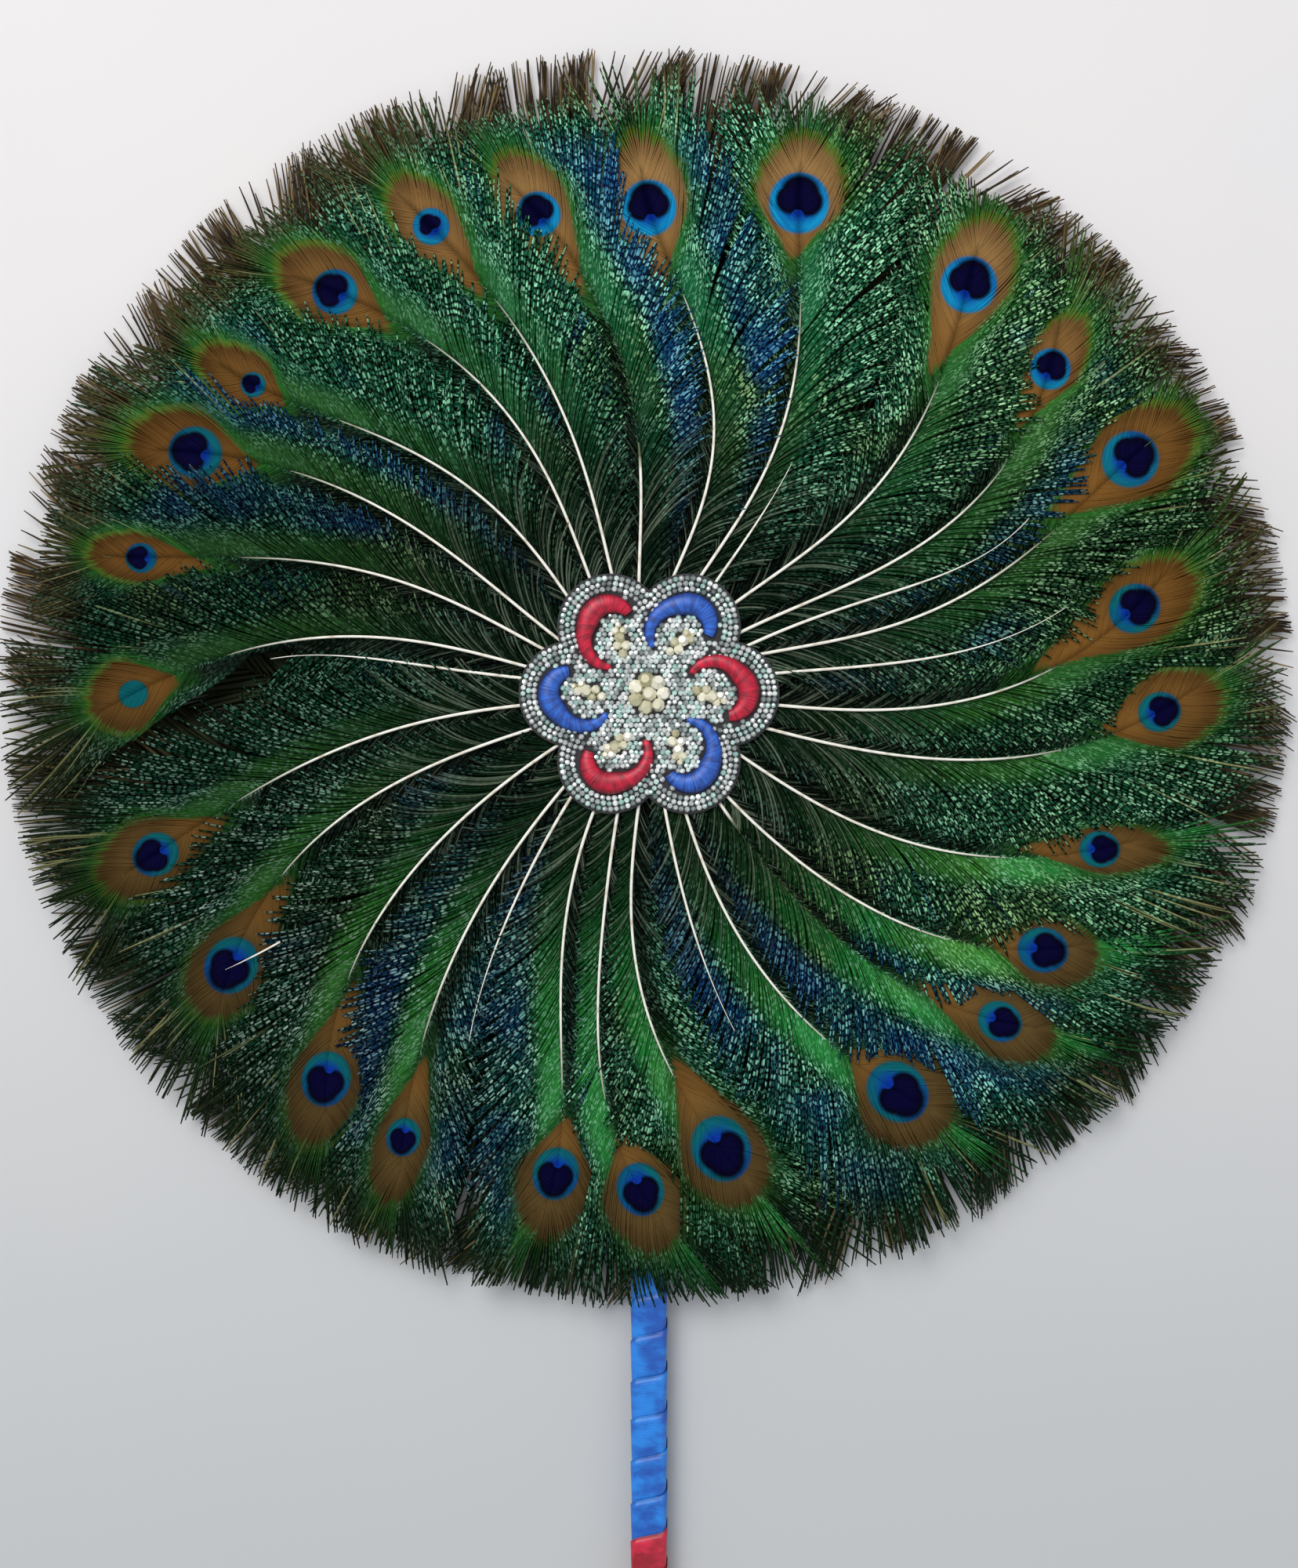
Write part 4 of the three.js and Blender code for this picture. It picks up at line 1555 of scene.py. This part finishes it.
        along, across, row = numbers(Trait.ALONG), numbers(Trait.ACROSS), np.round(numbers(Trait.ROW))
        rows = math.ceil((row.max() + 1) / self.MAP_COLUMNS)
        inner = self.MAP_MARGIN + (1.0 - 2 * self.MAP_MARGIN) * along
        left = (np.floor(row / rows) + inner) / self.MAP_COLUMNS
        up = (row % rows + 0.5 + self.MAP_HALF_ROW * across) / rows
        corners = np.zeros(len(mesh.loops), np.int32)
        mesh.loops.foreach_get("vertex_index", corners)
        flat = np.stack([left[corners], up[corners]], axis=1).astype(np.float32)
        mesh.uv_layers.new(name=BAKE_MAP).data.foreach_set("uv", flat.ravel())
        for spare in SPARE_TRAITS:
            attribute = mesh.attributes.get(spare)
            if attribute:
                mesh.attributes.remove(attribute)


@dataclass(frozen=True)
class TwoTone:
    """What the finishes share that vary between a light and a dark colour."""

    name: str
    light: Colour
    dark: Colour


@dataclass(frozen=True)
class ThreadFinish(TwoTone):
    """Satin stitches laid side by side, each a little lighter or darker than the next, with painted shade
    down the padding's sides.
    """

    def make(self) -> bpy.types.Material:
        """Build the material.

        Returns:
            The material for embroidery.
        """
        paint = Paint(self.name)
        tone = paint.spark(paint.trait("thread").apply("FLOOR")) * 0.7
        tone = tone + paint.noise(paint.place(), 420.0).ease(0.3, 0.7) * 0.5
        # Painted shade: the thread darkens towards the padding's sides, which turn away from the light.
        tone = tone * paint.trait("flank").ease(1.0, 0.5)
        paint.surface(Base_Color=paint.blend(tone, self.dark, self.light), Roughness=0.46, Sheen_Weight=0.02)
        return paint.material


@dataclass(frozen=True)
class StoneFinish(TwoTone):
    """Foil-backed stones, no two with the same light in them."""

    # Colour of the painted flashes of reflected light.
    flash: Colour
    metal: float

    def make(self) -> bpy.types.Material:
        """Build the material.

        Returns:
            The material for stones.
        """
        paint = Paint(self.name)
        tone = paint.trait("stone_tone")
        fire = paint.spark((tone * 97.0).apply("FLOOR"))
        # Painted reflections: each stone is lit or dark at random, and some flash a reflected colour.
        colour = paint.blend(tone, self.dark, self.light)
        colour = paint.blend(fire.ease(0.6, 0.95) * 0.6, colour, self.flash)
        paint.surface(Base_Color=colour, Metallic=self.metal, Roughness=0.16, Coat_Weight=0.4)
        return paint.material


@dataclass(frozen=True)
class FeltFinish(TwoTone):
    """Pressed felt with a soft nap."""

    def make(self) -> bpy.types.Material:
        """Build the material.

        Returns:
            The material for felt.
        """
        paint = Paint(self.name)
        nap = paint.noise(paint.place(), 1500.0, 4.0)
        paint.surface(Base_Color=paint.blend(nap, self.dark, self.light), Roughness=0.95, Sheen_Weight=0.2)
        paint.relief(nap, 0.3 * MM)
        return paint.material


@dataclass(frozen=True)
class SatinFinish(TwoTone):
    """Satin ribbon: fine threads along it, soft creases with painted highlights and shade, and edges that
    show where it overlaps.
    """

    def make(self) -> bpy.types.Material:
        """Build the material.

        Returns:
            The material for ribbon.
        """
        paint = Paint(self.name)
        across = paint.trait("ribbon_across")
        crease_shading = paint.noise(paint.place() * (130.0, 210.0, 130.0), 1.0, 3.0)
        edge = across.ease(0.06, 0.0) + across.ease(0.92, 1.0)
        # Painted highlights and shade: the satin goes from dark to light with the creases' noise, as light
        # falls on crumpled satin.
        colour = paint.blend(crease_shading.ease(0.32, 0.68), self.dark, self.light)
        colour = paint.shade(colour, 1.0 - edge * 0.3)
        paint.surface(Base_Color=colour, Roughness=0.38 + crease_shading * 0.12, Sheen_Weight=0.1)
        paint.relief(crease_shading + across.wave(110.0) * 0.08, 0.4 * MM, 0.8)
        return paint.material


@dataclass(frozen=True)
class WoodFinish(TwoTone):
    """Wood with its grain along the stick."""

    def make(self) -> bpy.types.Material:
        """Build the material.

        Returns:
            The material for the stick and the hub.
        """
        paint = Paint(self.name)
        grain = paint.noise(paint.place() * (1.0, 0.05, 1.0), 900.0, 4.0)
        paint.surface(Base_Color=paint.blend(grain, self.dark, self.light), Roughness=0.6)
        paint.relief(grain, 0.15 * MM, 0.6)
        return paint.material


class StoneTree(Growth):
    """Sets a cut stone on every point, turned and tipped at random."""

    def __init__(self, name: str, material: bpy.types.Material, sides: int) -> None:
        """Build the tree.

        Args:
            name: Name of the tree.
            material: The stones' material.
            sides: Facets round a stone.
        """
        super().__init__(name)
        seed, tip, height = self.size("Seed", "NodeSocketInt"), self.size("Tip"), self.size("Height")
        cut = {
            "Vertices": sides, "Side Segments": 1, "Radius Top": 0.52, "Radius Bottom": 1.0, "Depth": height,
        }
        stone = self.node("GeometryNodeMeshCone", {"fill_type": "NGON"}, cut)
        points = self.node("GeometryNodeMeshToPoints", {"mode": "VERTICES"}, {"Mesh": self.geometry()})
        points = self.store(points, stone_tone=self.chance(0.0, 1.0, seed))
        tipped = [self.chance(-tip, tip, seed + draw) for draw in (1.0, 2.0)]
        euler = self.vector(*tipped, self.chance(0.0, math.pi, seed + 3.0))
        turn = self.node("FunctionNodeEulerToRotation", {}, {"Euler": euler})
        scale = self.stored("stone_size") * self.chance(0.88, 1.08, seed + 4.0)
        stones = self.scatter(points, stone, Rotation=turn, Scale=scale)
        self.close(self.node("GeometryNodeSetMaterial", {}, {"Geometry": stones, "Material": material}))


@dataclass
class FlowerPatch:
    """Six-lobed felt patch with its stones, its padded crescents and its gold flower."""

    lobe_radius: float = 16.5 * MM
    lobe_centre: float = 24 * MM
    lobes: int = 6
    row_insets: tuple[float, ...] = (1.45 * MM, 3.15 * MM, 4.85 * MM)
    stone_radius: float = 0.92 * MM
    fill_inset: float = 6.4 * MM
    fill_pitch: float = 1.62 * MM
    fill_jitter: float = 0.26 * MM
    gold_radius: float = 6.2 * MM
    gold_petals: int = 7
    gold_ring: float = 4.5 * MM
    outline_steps: int = 264
    inner_radius: float = 7 * MM
    tail_radius: float = 12.5 * MM
    crescent_width: float = 7.0 * MM
    crescent_height: float = 3 * MM
    sweep: float = math.radians(235)
    lean: float = math.radians(34)
    threads: int = 64
    thread_ridge: float = 0.045
    """Share by which every second step of a crescent is raised, so that its threads show."""
    tail_start: float = 0.55
    """Share of a crescent's length at which its tail begins to turn outward."""
    profile_steps: int = 12
    search_steps: int = 40
    """Steps along a crescent at which a spot is tried against it."""
    petal_reach: float = 18.4 * MM
    petal_half: tuple[float, float] = (5.2 * MM, 2.6 * MM)
    petal_back: float = math.radians(2)
    """How far a gold petal's middle is turned back from its lobe."""
    petal_turn: float = math.radians(18)
    """How far it is turned on its middle."""
    petal_stones: tuple[tuple[float, float, float], ...] = (
        (-4.0, 0.2, 1.4), (-1.6, -1.2, 1.5), (-1.2, 1.5, 1.4), (1.2, 0.2, 1.8), (3.2, -1.2, 1.3),
        (3.5, 1.3, 1.3), (5.2, 0.1, 1.0),
    )
    """Millimetres along and across a petal to each of its stones, and the stone's size."""
    petal_stone: float = 1.15 * MM
    """Radius of a petal's stone of size 1."""
    gold_stones: tuple[float, float] = (2.5 * MM, 2.45 * MM)
    """Radius of the stone in the middle, and of those round it."""
    stone_lift: float = 0.3 * MM
    """Height of the stones' middle over the felt."""
    stone_sides: int = 8
    stone_tip: float = 0.3
    """How far a stone may be tipped."""
    stone_height: float = 0.85
    """Height of a stone as a share of its radius."""
    fill_clear: tuple[float, float, float] = (0.5 * MM, 0.1 * MM, 0.2 * MM)
    """Distance of the stones that fill the ground from the gold flower, the petals and the crescents."""
    fill_seed: int = 11
    gold_seed: int = 7
    crystal_seed: int = 3
    sunk: float = 0.3 * MM
    """How far the crescents sit into the felt."""
    soft: float = 0.35 * MM
    """Radius of the felt's edges."""

    def build(self) -> None:
        """Make the felt, the crescents, the gold and the stones."""
        felt = FeltFinish("black felt", srgb(58, 58, 62), srgb(24, 24, 28))
        felt_sheet("patch_felt", "front_patch", "patch_cloth", self.soft, self.outline, felt)
        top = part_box("front_patch")[1].z
        threads = {
            "red": ThreadFinish("red thread", srgb(204, 2, 54), srgb(104, 0, 26)).make(),
            "blue": ThreadFinish("blue thread", srgb(36, 102, 204), srgb(12, 40, 112)).make(),
        }
        for number in range(self.lobes):
            colour = ("red", "blue")[number % 2]
            node = f"{colour}_crescent_{number // 2 + 1}"
            self.crescent(number, top, node, threads[colour], f"{colour}_thread")
        pale, dim, bright = srgb(238, 235, 214), srgb(168, 164, 128), srgb(250, 249, 240)
        self.gold(top, StoneFinish("gold stones", pale, dim, bright, 0.1).make())
        pale, dim, bright = srgb(246, 250, 249), srgb(106, 120, 119), srgb(172, 226, 215)
        self.crystals(top, StoneFinish("crystal stones", pale, dim, bright, 0.25).make())

    def edge(self, bearing: float, inset: float) -> float:
        """Distance from the middle to the lobed outline.

        Args:
            bearing: Direction from the middle.
            inset: How far inside the patch's edge.

        Returns:
            The distance.
        """
        step = math.tau / self.lobes
        off = (bearing + step / 2) % step - step / 2
        radius = self.lobe_radius - inset
        beside = self.lobe_centre * math.sin(off)
        return self.lobe_centre * math.cos(off) + math.sqrt(max(radius**2 - beside**2, 0.0))

    def outline(self, inset: float, height: float) -> np.ndarray:
        """Points round the lobed outline at a height."""
        bearings = np.linspace(0, math.tau, self.outline_steps, endpoint=False)
        return polar_rows(np.array([self.edge(a, inset) for a in bearings]), bearings, height)

    def comma(self, number: int, along: float) -> tuple[Vector, float, float]:
        """Middle line of a crescent.

        Args:
            number: Which lobe.
            along: From 0 at the round end to 1 at the tail.

        Returns:
            The centre of its curve, its heading from there, and its distance.
        """
        bearing = math.tau * number / self.lobes
        centre = polar(self.lobe_centre, bearing)
        heading = bearing + self.lean + self.sweep * (along - 0.5)
        late = min(max((along - self.tail_start) / (1.0 - self.tail_start), 0.0), 1.0)
        smooth = late * late * (3 - 2 * late)
        return centre, heading, self.inner_radius + (self.tail_radius - self.inner_radius) * smooth

    @staticmethod
    def swell(along: float) -> float:
        """Breadth of a crescent along its length, 1 at its fullest."""
        return math.sin(math.pi * (0.12 + 0.83 * along)) ** 0.7

    def crescent(self, number: int, top: float, node: str, material: bpy.types.Material, slot: str) -> None:
        """Padded crescent with a ridge for every thread.

        Args:
            number: Which lobe.
            top: Height of the felt's face.
            node: CAD node that it stands for.
            material: Its thread.
            slot: The record's material slot.
        """
        profile = [(-1.0, 0.0), (1.0, 0.0)]
        arc = np.linspace(0, math.pi, self.profile_steps)[1:-1]
        profile += [(math.cos(a), math.sin(a) ** 0.85) for a in arc]
        rings, count = [], 2 * self.threads
        for k in range(count + 1):
            centre, heading, reach = self.comma(number, k / count)
            swell = self.swell(k / count) * (1.0 + self.thread_ridge * (k % 2))
            for across, up in profile:
                out = reach - across * swell * self.crescent_width / 2
                height = top - self.sunk + up * swell * self.crescent_height
                rings.append((centre.x + out * math.cos(heading), centre.y + out * math.sin(heading), height))
        faces = tube_faces(count + 1, len(profile))
        thread = np.repeat(np.arange(count + 1) / 2.0, len(profile))
        # How far to the side each point lies, for the painted shade on the sides.
        flank = np.tile([abs(across) for across, _ in profile], count + 1)
        points = np.array(rings)
        piece = new_piece(f"padded_{node}", points, faces, material, True, thread=thread, flank=flank)
        settle(piece, slot, node)

    def petal(self, number: int) -> tuple[Vector, Vector]:
        """Middle and long direction of the gold petal on a lobe."""
        bearing = math.tau * number / self.lobes - self.petal_back
        return polar(self.petal_reach, bearing), polar(1.0, bearing - self.petal_turn)

    def in_petal(self, spot: Vector, grow: float) -> bool:
        """Whether a spot lies on a gold petal, or within a distance of one.

        Args:
            spot: The x and y of the spot.
            grow: The distance.

        Returns:
            True if it does.
        """
        for number in range(self.lobes):
            middle, way = self.petal(number)
            off = spot - middle
            along, across = off.dot(way), way.x * off.y - way.y * off.x
            if math.hypot(along / (self.petal_half[0] + grow), across / (self.petal_half[1] + grow)) < 1:
                return True
        return False

    def in_crescent(self, spot: Vector, grow: float) -> bool:
        """Whether a spot lies under a crescent, or within a distance of one.

        Args:
            spot: The x and y of the spot.
            grow: The distance.

        Returns:
            True if it does.
        """
        for number in range(self.lobes):
            for along in np.linspace(0, 1, self.search_steps):
                centre, heading, reach = self.comma(number, float(along))
                middle = centre + polar(1.0, heading) * reach
                if (spot - middle).length < self.swell(float(along)) * self.crescent_width / 2 + grow:
                    return True
        return False

    def stones(
        self, name: str, spots: list[Vector], sizes: list[float], height: float, tree: StoneTree, seed: int,
    ) -> bpy.types.Object:
        """Set stones of given radii on spots at a height, as one object."""
        mesh = new_mesh(name + "_spots", [(spot.x, spot.y, height) for spot in spots], stone_size=sizes)
        return tree.grow(name, mesh, Seed=seed, Tip=self.stone_tip, Height=self.stone_height)

    def gold(self, top: float, material: bpy.types.Material) -> None:
        """Gold flower in the middle and a gold petal on each lobe.

        Args:
            top: Height of the felt's face.
            material: The stones' material.
        """
        middle_size, ring_size = self.gold_stones
        spots, sizes = [Vector((0.0, 0.0))], [middle_size] + [ring_size] * self.gold_petals
        for k in range(self.gold_petals):
            spots.append(polar(1.0, math.tau * k / self.gold_petals) * self.gold_ring)
        for number in range(self.lobes):
            middle, way = self.petal(number)
            side = Vector((-way.y, way.x))
            for along, across, size in self.petal_stones:
                spots.append(middle + (way * along + side * across) * MM)
                sizes.append(size * self.petal_stone)
        tree = StoneTree("gold stones", material, self.stone_sides)
        piece = self.stones("gold_stones", spots, sizes, top + self.stone_lift, tree, self.gold_seed)
        settle(piece, "gold", "gold_centre")

    def crystals(self, top: float, material: bpy.types.Material) -> None:
        """Rows of stones along the edge, and stones that fill the ground between the crescents.

        Args:
            top: Height of the felt's face.
            material: The stones' material.
        """
        spots: list[Vector] = []
        for inset in self.row_insets:
            line = self.outline(inset, 0.0)[:, :2]
            steps = np.linalg.norm(np.roll(line, -1, axis=0) - line, axis=1)
            run = np.concatenate([[0.0], np.cumsum(steps)])
            closed = np.concatenate([line, line[:1]])
            count = round(run[-1] / (2 * self.stone_radius))
            for at in np.linspace(0, run[-1], count, endpoint=False):
                spots.append(Vector((np.interp(at, run, closed[:, 0]), np.interp(at, run, closed[:, 1]))))
        draw = np.random.default_rng(self.fill_seed)
        reach = math.ceil((self.lobe_centre + self.lobe_radius) / self.fill_pitch)
        clear_flower, clear_petal, clear_crescent = self.fill_clear
        for row in range(-reach - 3, reach + 4):
            for column in range(-reach - 3, reach + 4):
                jitter = draw.uniform(-self.fill_jitter, self.fill_jitter, 2)
                across = (column + 0.5 * (row % 2)) * self.fill_pitch + jitter[0]
                up = row * self.fill_pitch * math.sqrt(0.75) + jitter[1]
                spot = Vector((across, up))
                if spot.length > self.edge(math.atan2(up, across), self.fill_inset):
                    continue
                if spot.length < self.gold_radius + clear_flower or self.in_petal(spot, clear_petal):
                    continue
                if not self.in_crescent(spot, clear_crescent):
                    spots.append(spot)
        sizes = [self.stone_radius] * len(spots)
        tree = StoneTree("crystal stones", material, self.stone_sides)
        height = top + self.stone_lift
        piece = self.stones("crystal_stones", spots, sizes, height, tree, self.crystal_seed)
        settle(piece, "crystal", "crystal_border")


@dataclass
class BackPatch:
    """Felt disc that covers the quills' ends on the back."""

    steps: int = 96
    soft: float = 0.4 * MM

    def build(self) -> None:
        """Make the disc with rounded edges."""
        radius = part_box("back_patch")[1].x
        turns = np.linspace(0, math.tau, self.steps, endpoint=False)

        def outline(inset: float, height: float) -> np.ndarray:
            """Points round the disc at a height."""
            return polar_rows(np.full(self.steps, radius - inset), turns, height)

        felt = FeltFinish("blue felt", srgb(48, 58, 124), srgb(24, 30, 84))
        felt_sheet("back_felt", "back_patch", "back_cloth", self.soft, outline, felt)


@dataclass
class Handle:
    """Stick and hub of pale wood, and the two ribbons wound down the stick."""

    half_width: float = 5.2 * MM
    half_thickness: float = 2.3 * MM
    corner: float = 1.5 * MM
    pitch: float = 12.5 * MM
    overlap: float = 2.4 * MM
    """How far each turn lies over the turn above it."""
    first_turn: float = -42.8 * MM
    """Where the first turn's middle starts along Y."""
    blue_turns: float = 18.0
    butt: float = -346 * MM
    corner_steps: int = 5
    side_steps: int = 4
    across_steps: int = 6
    under: float = 0.12 * MM
    """Height of a turn's lower edge over the stick, under the next turn."""
    over: float = 0.62 * MM
    """Height of a turn's upper edge, which lies on the turn before."""
    thickness: float = 0.1 * MM
    """Thickness of the ribbon."""
    wavers: tuple[tuple[float, float, float], ...] = ((0.5 * MM, 2.1, 0.0), (0.3 * MM, 5.3, 1.0))
    """Height, radians for each turn, and start of the waves by which the winding is uneven."""

    def build(self) -> None:
        """Give the wood its grain and wind the ribbons."""
        wood = WoodFinish("pale wood", srgb(214, 178, 126), srgb(176, 132, 80)).make()
        for node in ("handle_stick", "hub_disc"):
            part = bpy.data.objects[node]
            part.data.materials.clear()
            part.data.materials.append(wood)
        turns = (self.first_turn - self.butt) / self.pitch - 0.5
        blue = SatinFinish("blue satin", srgb(22, 124, 216), srgb(8, 76, 168)).make()
        red = SatinFinish("red satin", srgb(204, 24, 62), srgb(140, 6, 34)).make()
        self.ribbon("blue_winding", 0.0, self.blue_turns, blue, "blue_ribbon")
        self.ribbon("red_winding", self.blue_turns, turns, red, "red_ribbon")

    def section(self) -> list[tuple[Vector, Vector]]:
        """Points round the stick's section, in the order in which the ribbon is wound.

        Returns:
            Each point, and the way out of the stick there.
        """
        spots: list[tuple[Vector, Vector]] = []
        inner = Vector((self.half_width - self.corner, self.half_thickness - self.corner))
        centres = [Vector((x * inner.x, z * inner.y)) for x, z in ((1, 1), (-1, 1), (-1, -1), (1, -1))]
        for quarter, middle in enumerate(centres):
            for k in range(self.corner_steps + 1):
                out = polar(1.0, math.pi / 2 * (quarter + k / self.corner_steps))
                spots.append((middle + out * self.corner, out))
            start, after = spots[-1][0], centres[(quarter + 1) % 4] + out * self.corner
            for k in range(1, self.side_steps):
                spots.append((start.lerp(after, k / self.side_steps), out))
        return spots

    def ribbon(self, name: str, first: float, last: float, material: bpy.types.Material, node: str) -> None:
        """Wind one ribbon, each turn lying over the one before.

        Args:
            name: Name of the piece.
            first: Turn at which it starts.
            last: Turn at which it ends.
            material: Its satin.
            node: CAD node that it stands for.
        """
        section = self.section()
        per_turn = len(section)
        plane = sum(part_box("handle_stick")[k].z for k in (0, 1)) / 2
        half = (self.pitch + self.overlap) / 2
        shares = np.linspace(0, 1, self.across_steps + 1)
        points, across = [], []
        steps = range(round(first * per_turn), round(last * per_turn) + 1)
        for step in steps:
            spot, out = section[step % per_turn]
            turn = step / per_turn
            waver = sum(height * math.sin(rate * turn + phase) for height, rate, phase in self.wavers)
            middle = self.first_turn - self.pitch * turn + waver
            for share in (*shares, *reversed(shares)):
                outer = len(across) % (2 * len(shares)) < len(shares)
                height = self.under + (self.over - self.under) * share - (0.0 if outer else self.thickness)
                at = spot + out * height
                points.append((at.x, middle + half * (2 * share - 1), plane + at.y))
                across.append(share)
        faces = [tuple(reversed(face)) for face in tube_faces(len(steps), 2 * len(shares))]
        piece = new_piece(name, np.array(points), faces, material, True, ribbon_across=across)
        settle(piece, node, node)


@dataclass
class Studio:
    """Pale floor, soft light and the camera that looks straight down, as in the photo."""

    frame_height: float = 488 * MM
    """Height of the photo's frame on the fan."""
    frame_middle: float = -28 * MM
    """Where the middle of the frame lies along Y."""
    fan_height: float = 12 * MM
    lens: float = 50.0
    sensor: float = 36.0
    floor_half: float = 8.0
    sky: Colour = srgb(236, 236, 238)
    sky_strength: float = 0.6

    def build(self) -> None:
        """Make the floor, the lights and the camera."""
        self.floor()
        self.camera()
        self.light("key", (-0.92, 1.43, 2.19), 1.8, 70.0, (1.0, 0.985, 0.97))
        self.light("fill", (1.8, -1.0, 2.4), 3.0, 11.0, (0.86, 0.95, 1.0))
        world = bpy.data.worlds.new("studio")
        world.use_nodes = True
        background = world.node_tree.nodes["Background"]
        background.inputs["Color"].default_value = (*self.sky, 1.0)
        background.inputs["Strength"].default_value = self.sky_strength
        scene = bpy.context.scene
        scene.world = world
        scene.view_settings.view_transform = "Standard"

    def floor(self) -> None:
        """Pale sheet under the fan, with painted shade that darkens it towards the bottom."""
        half = self.floor_half
        corners = np.array([(-half, -half, 0), (half, -half, 0), (half, half, 0), (-half, half, 0)], float)
        paint = Paint("pale floor")
        grain = paint.noise(paint.place(), 9.0, 3.0)
        colour = paint.blend(grain, srgb(218, 214, 213), srgb(210, 211, 214))
        # Painted shade: the floor darkens towards the bottom, where the light falls off.
        painted_falloff = (paint.place().part("Y") * TO_MM).ease(180.0, -320.0)
        colour = paint.blend(painted_falloff * 0.8, colour, srgb(170, 176, 179))
        paint.surface(Base_Color=colour, Roughness=0.9)
        new_piece("floor", corners, [(0, 1, 2, 3)], paint.material)

    def camera(self) -> None:
        """Camera above the middle of the photo's frame."""
        data = bpy.data.cameras.new("photo camera")
        data.lens = self.lens
        data.sensor_width = self.sensor
        camera = add_object("photo camera", data)
        distance = self.frame_height * self.lens / self.sensor
        camera.location = (0.0, self.frame_middle, self.fan_height + distance)
        bpy.context.scene.camera = camera

    @staticmethod
    def light(
        name: str, place: tuple[float, float, float], size: float, power: float, colour: Colour,
    ) -> None:
        """Add a square soft light that looks at the hub.

        Args:
            name: Name of the light.
            place: Where it stands.
            size: Length of its side.
            power: Watts.
            colour: Its colour.
        """
        data = bpy.data.lights.new(name, "AREA")
        data.size = size
        data.energy = power
        data.color = colour
        lamp = add_object(name, data)
        lamp.location = place
        lamp.rotation_mode = "QUATERNION"
        lamp.rotation_quaternion = (-Vector(place)).to_track_quat("-Z", "Y")


def main() -> None:
    """Build the fan's sub-assemblies in order."""
    logging.basicConfig(level=logging.INFO, format="%(name)s: %(message)s")
    Studio().build()
    BackPatch().build()
    Handle().build()
    Feathers().build()
    FlowerPatch().build()


if __name__ == "__main__":
    main()
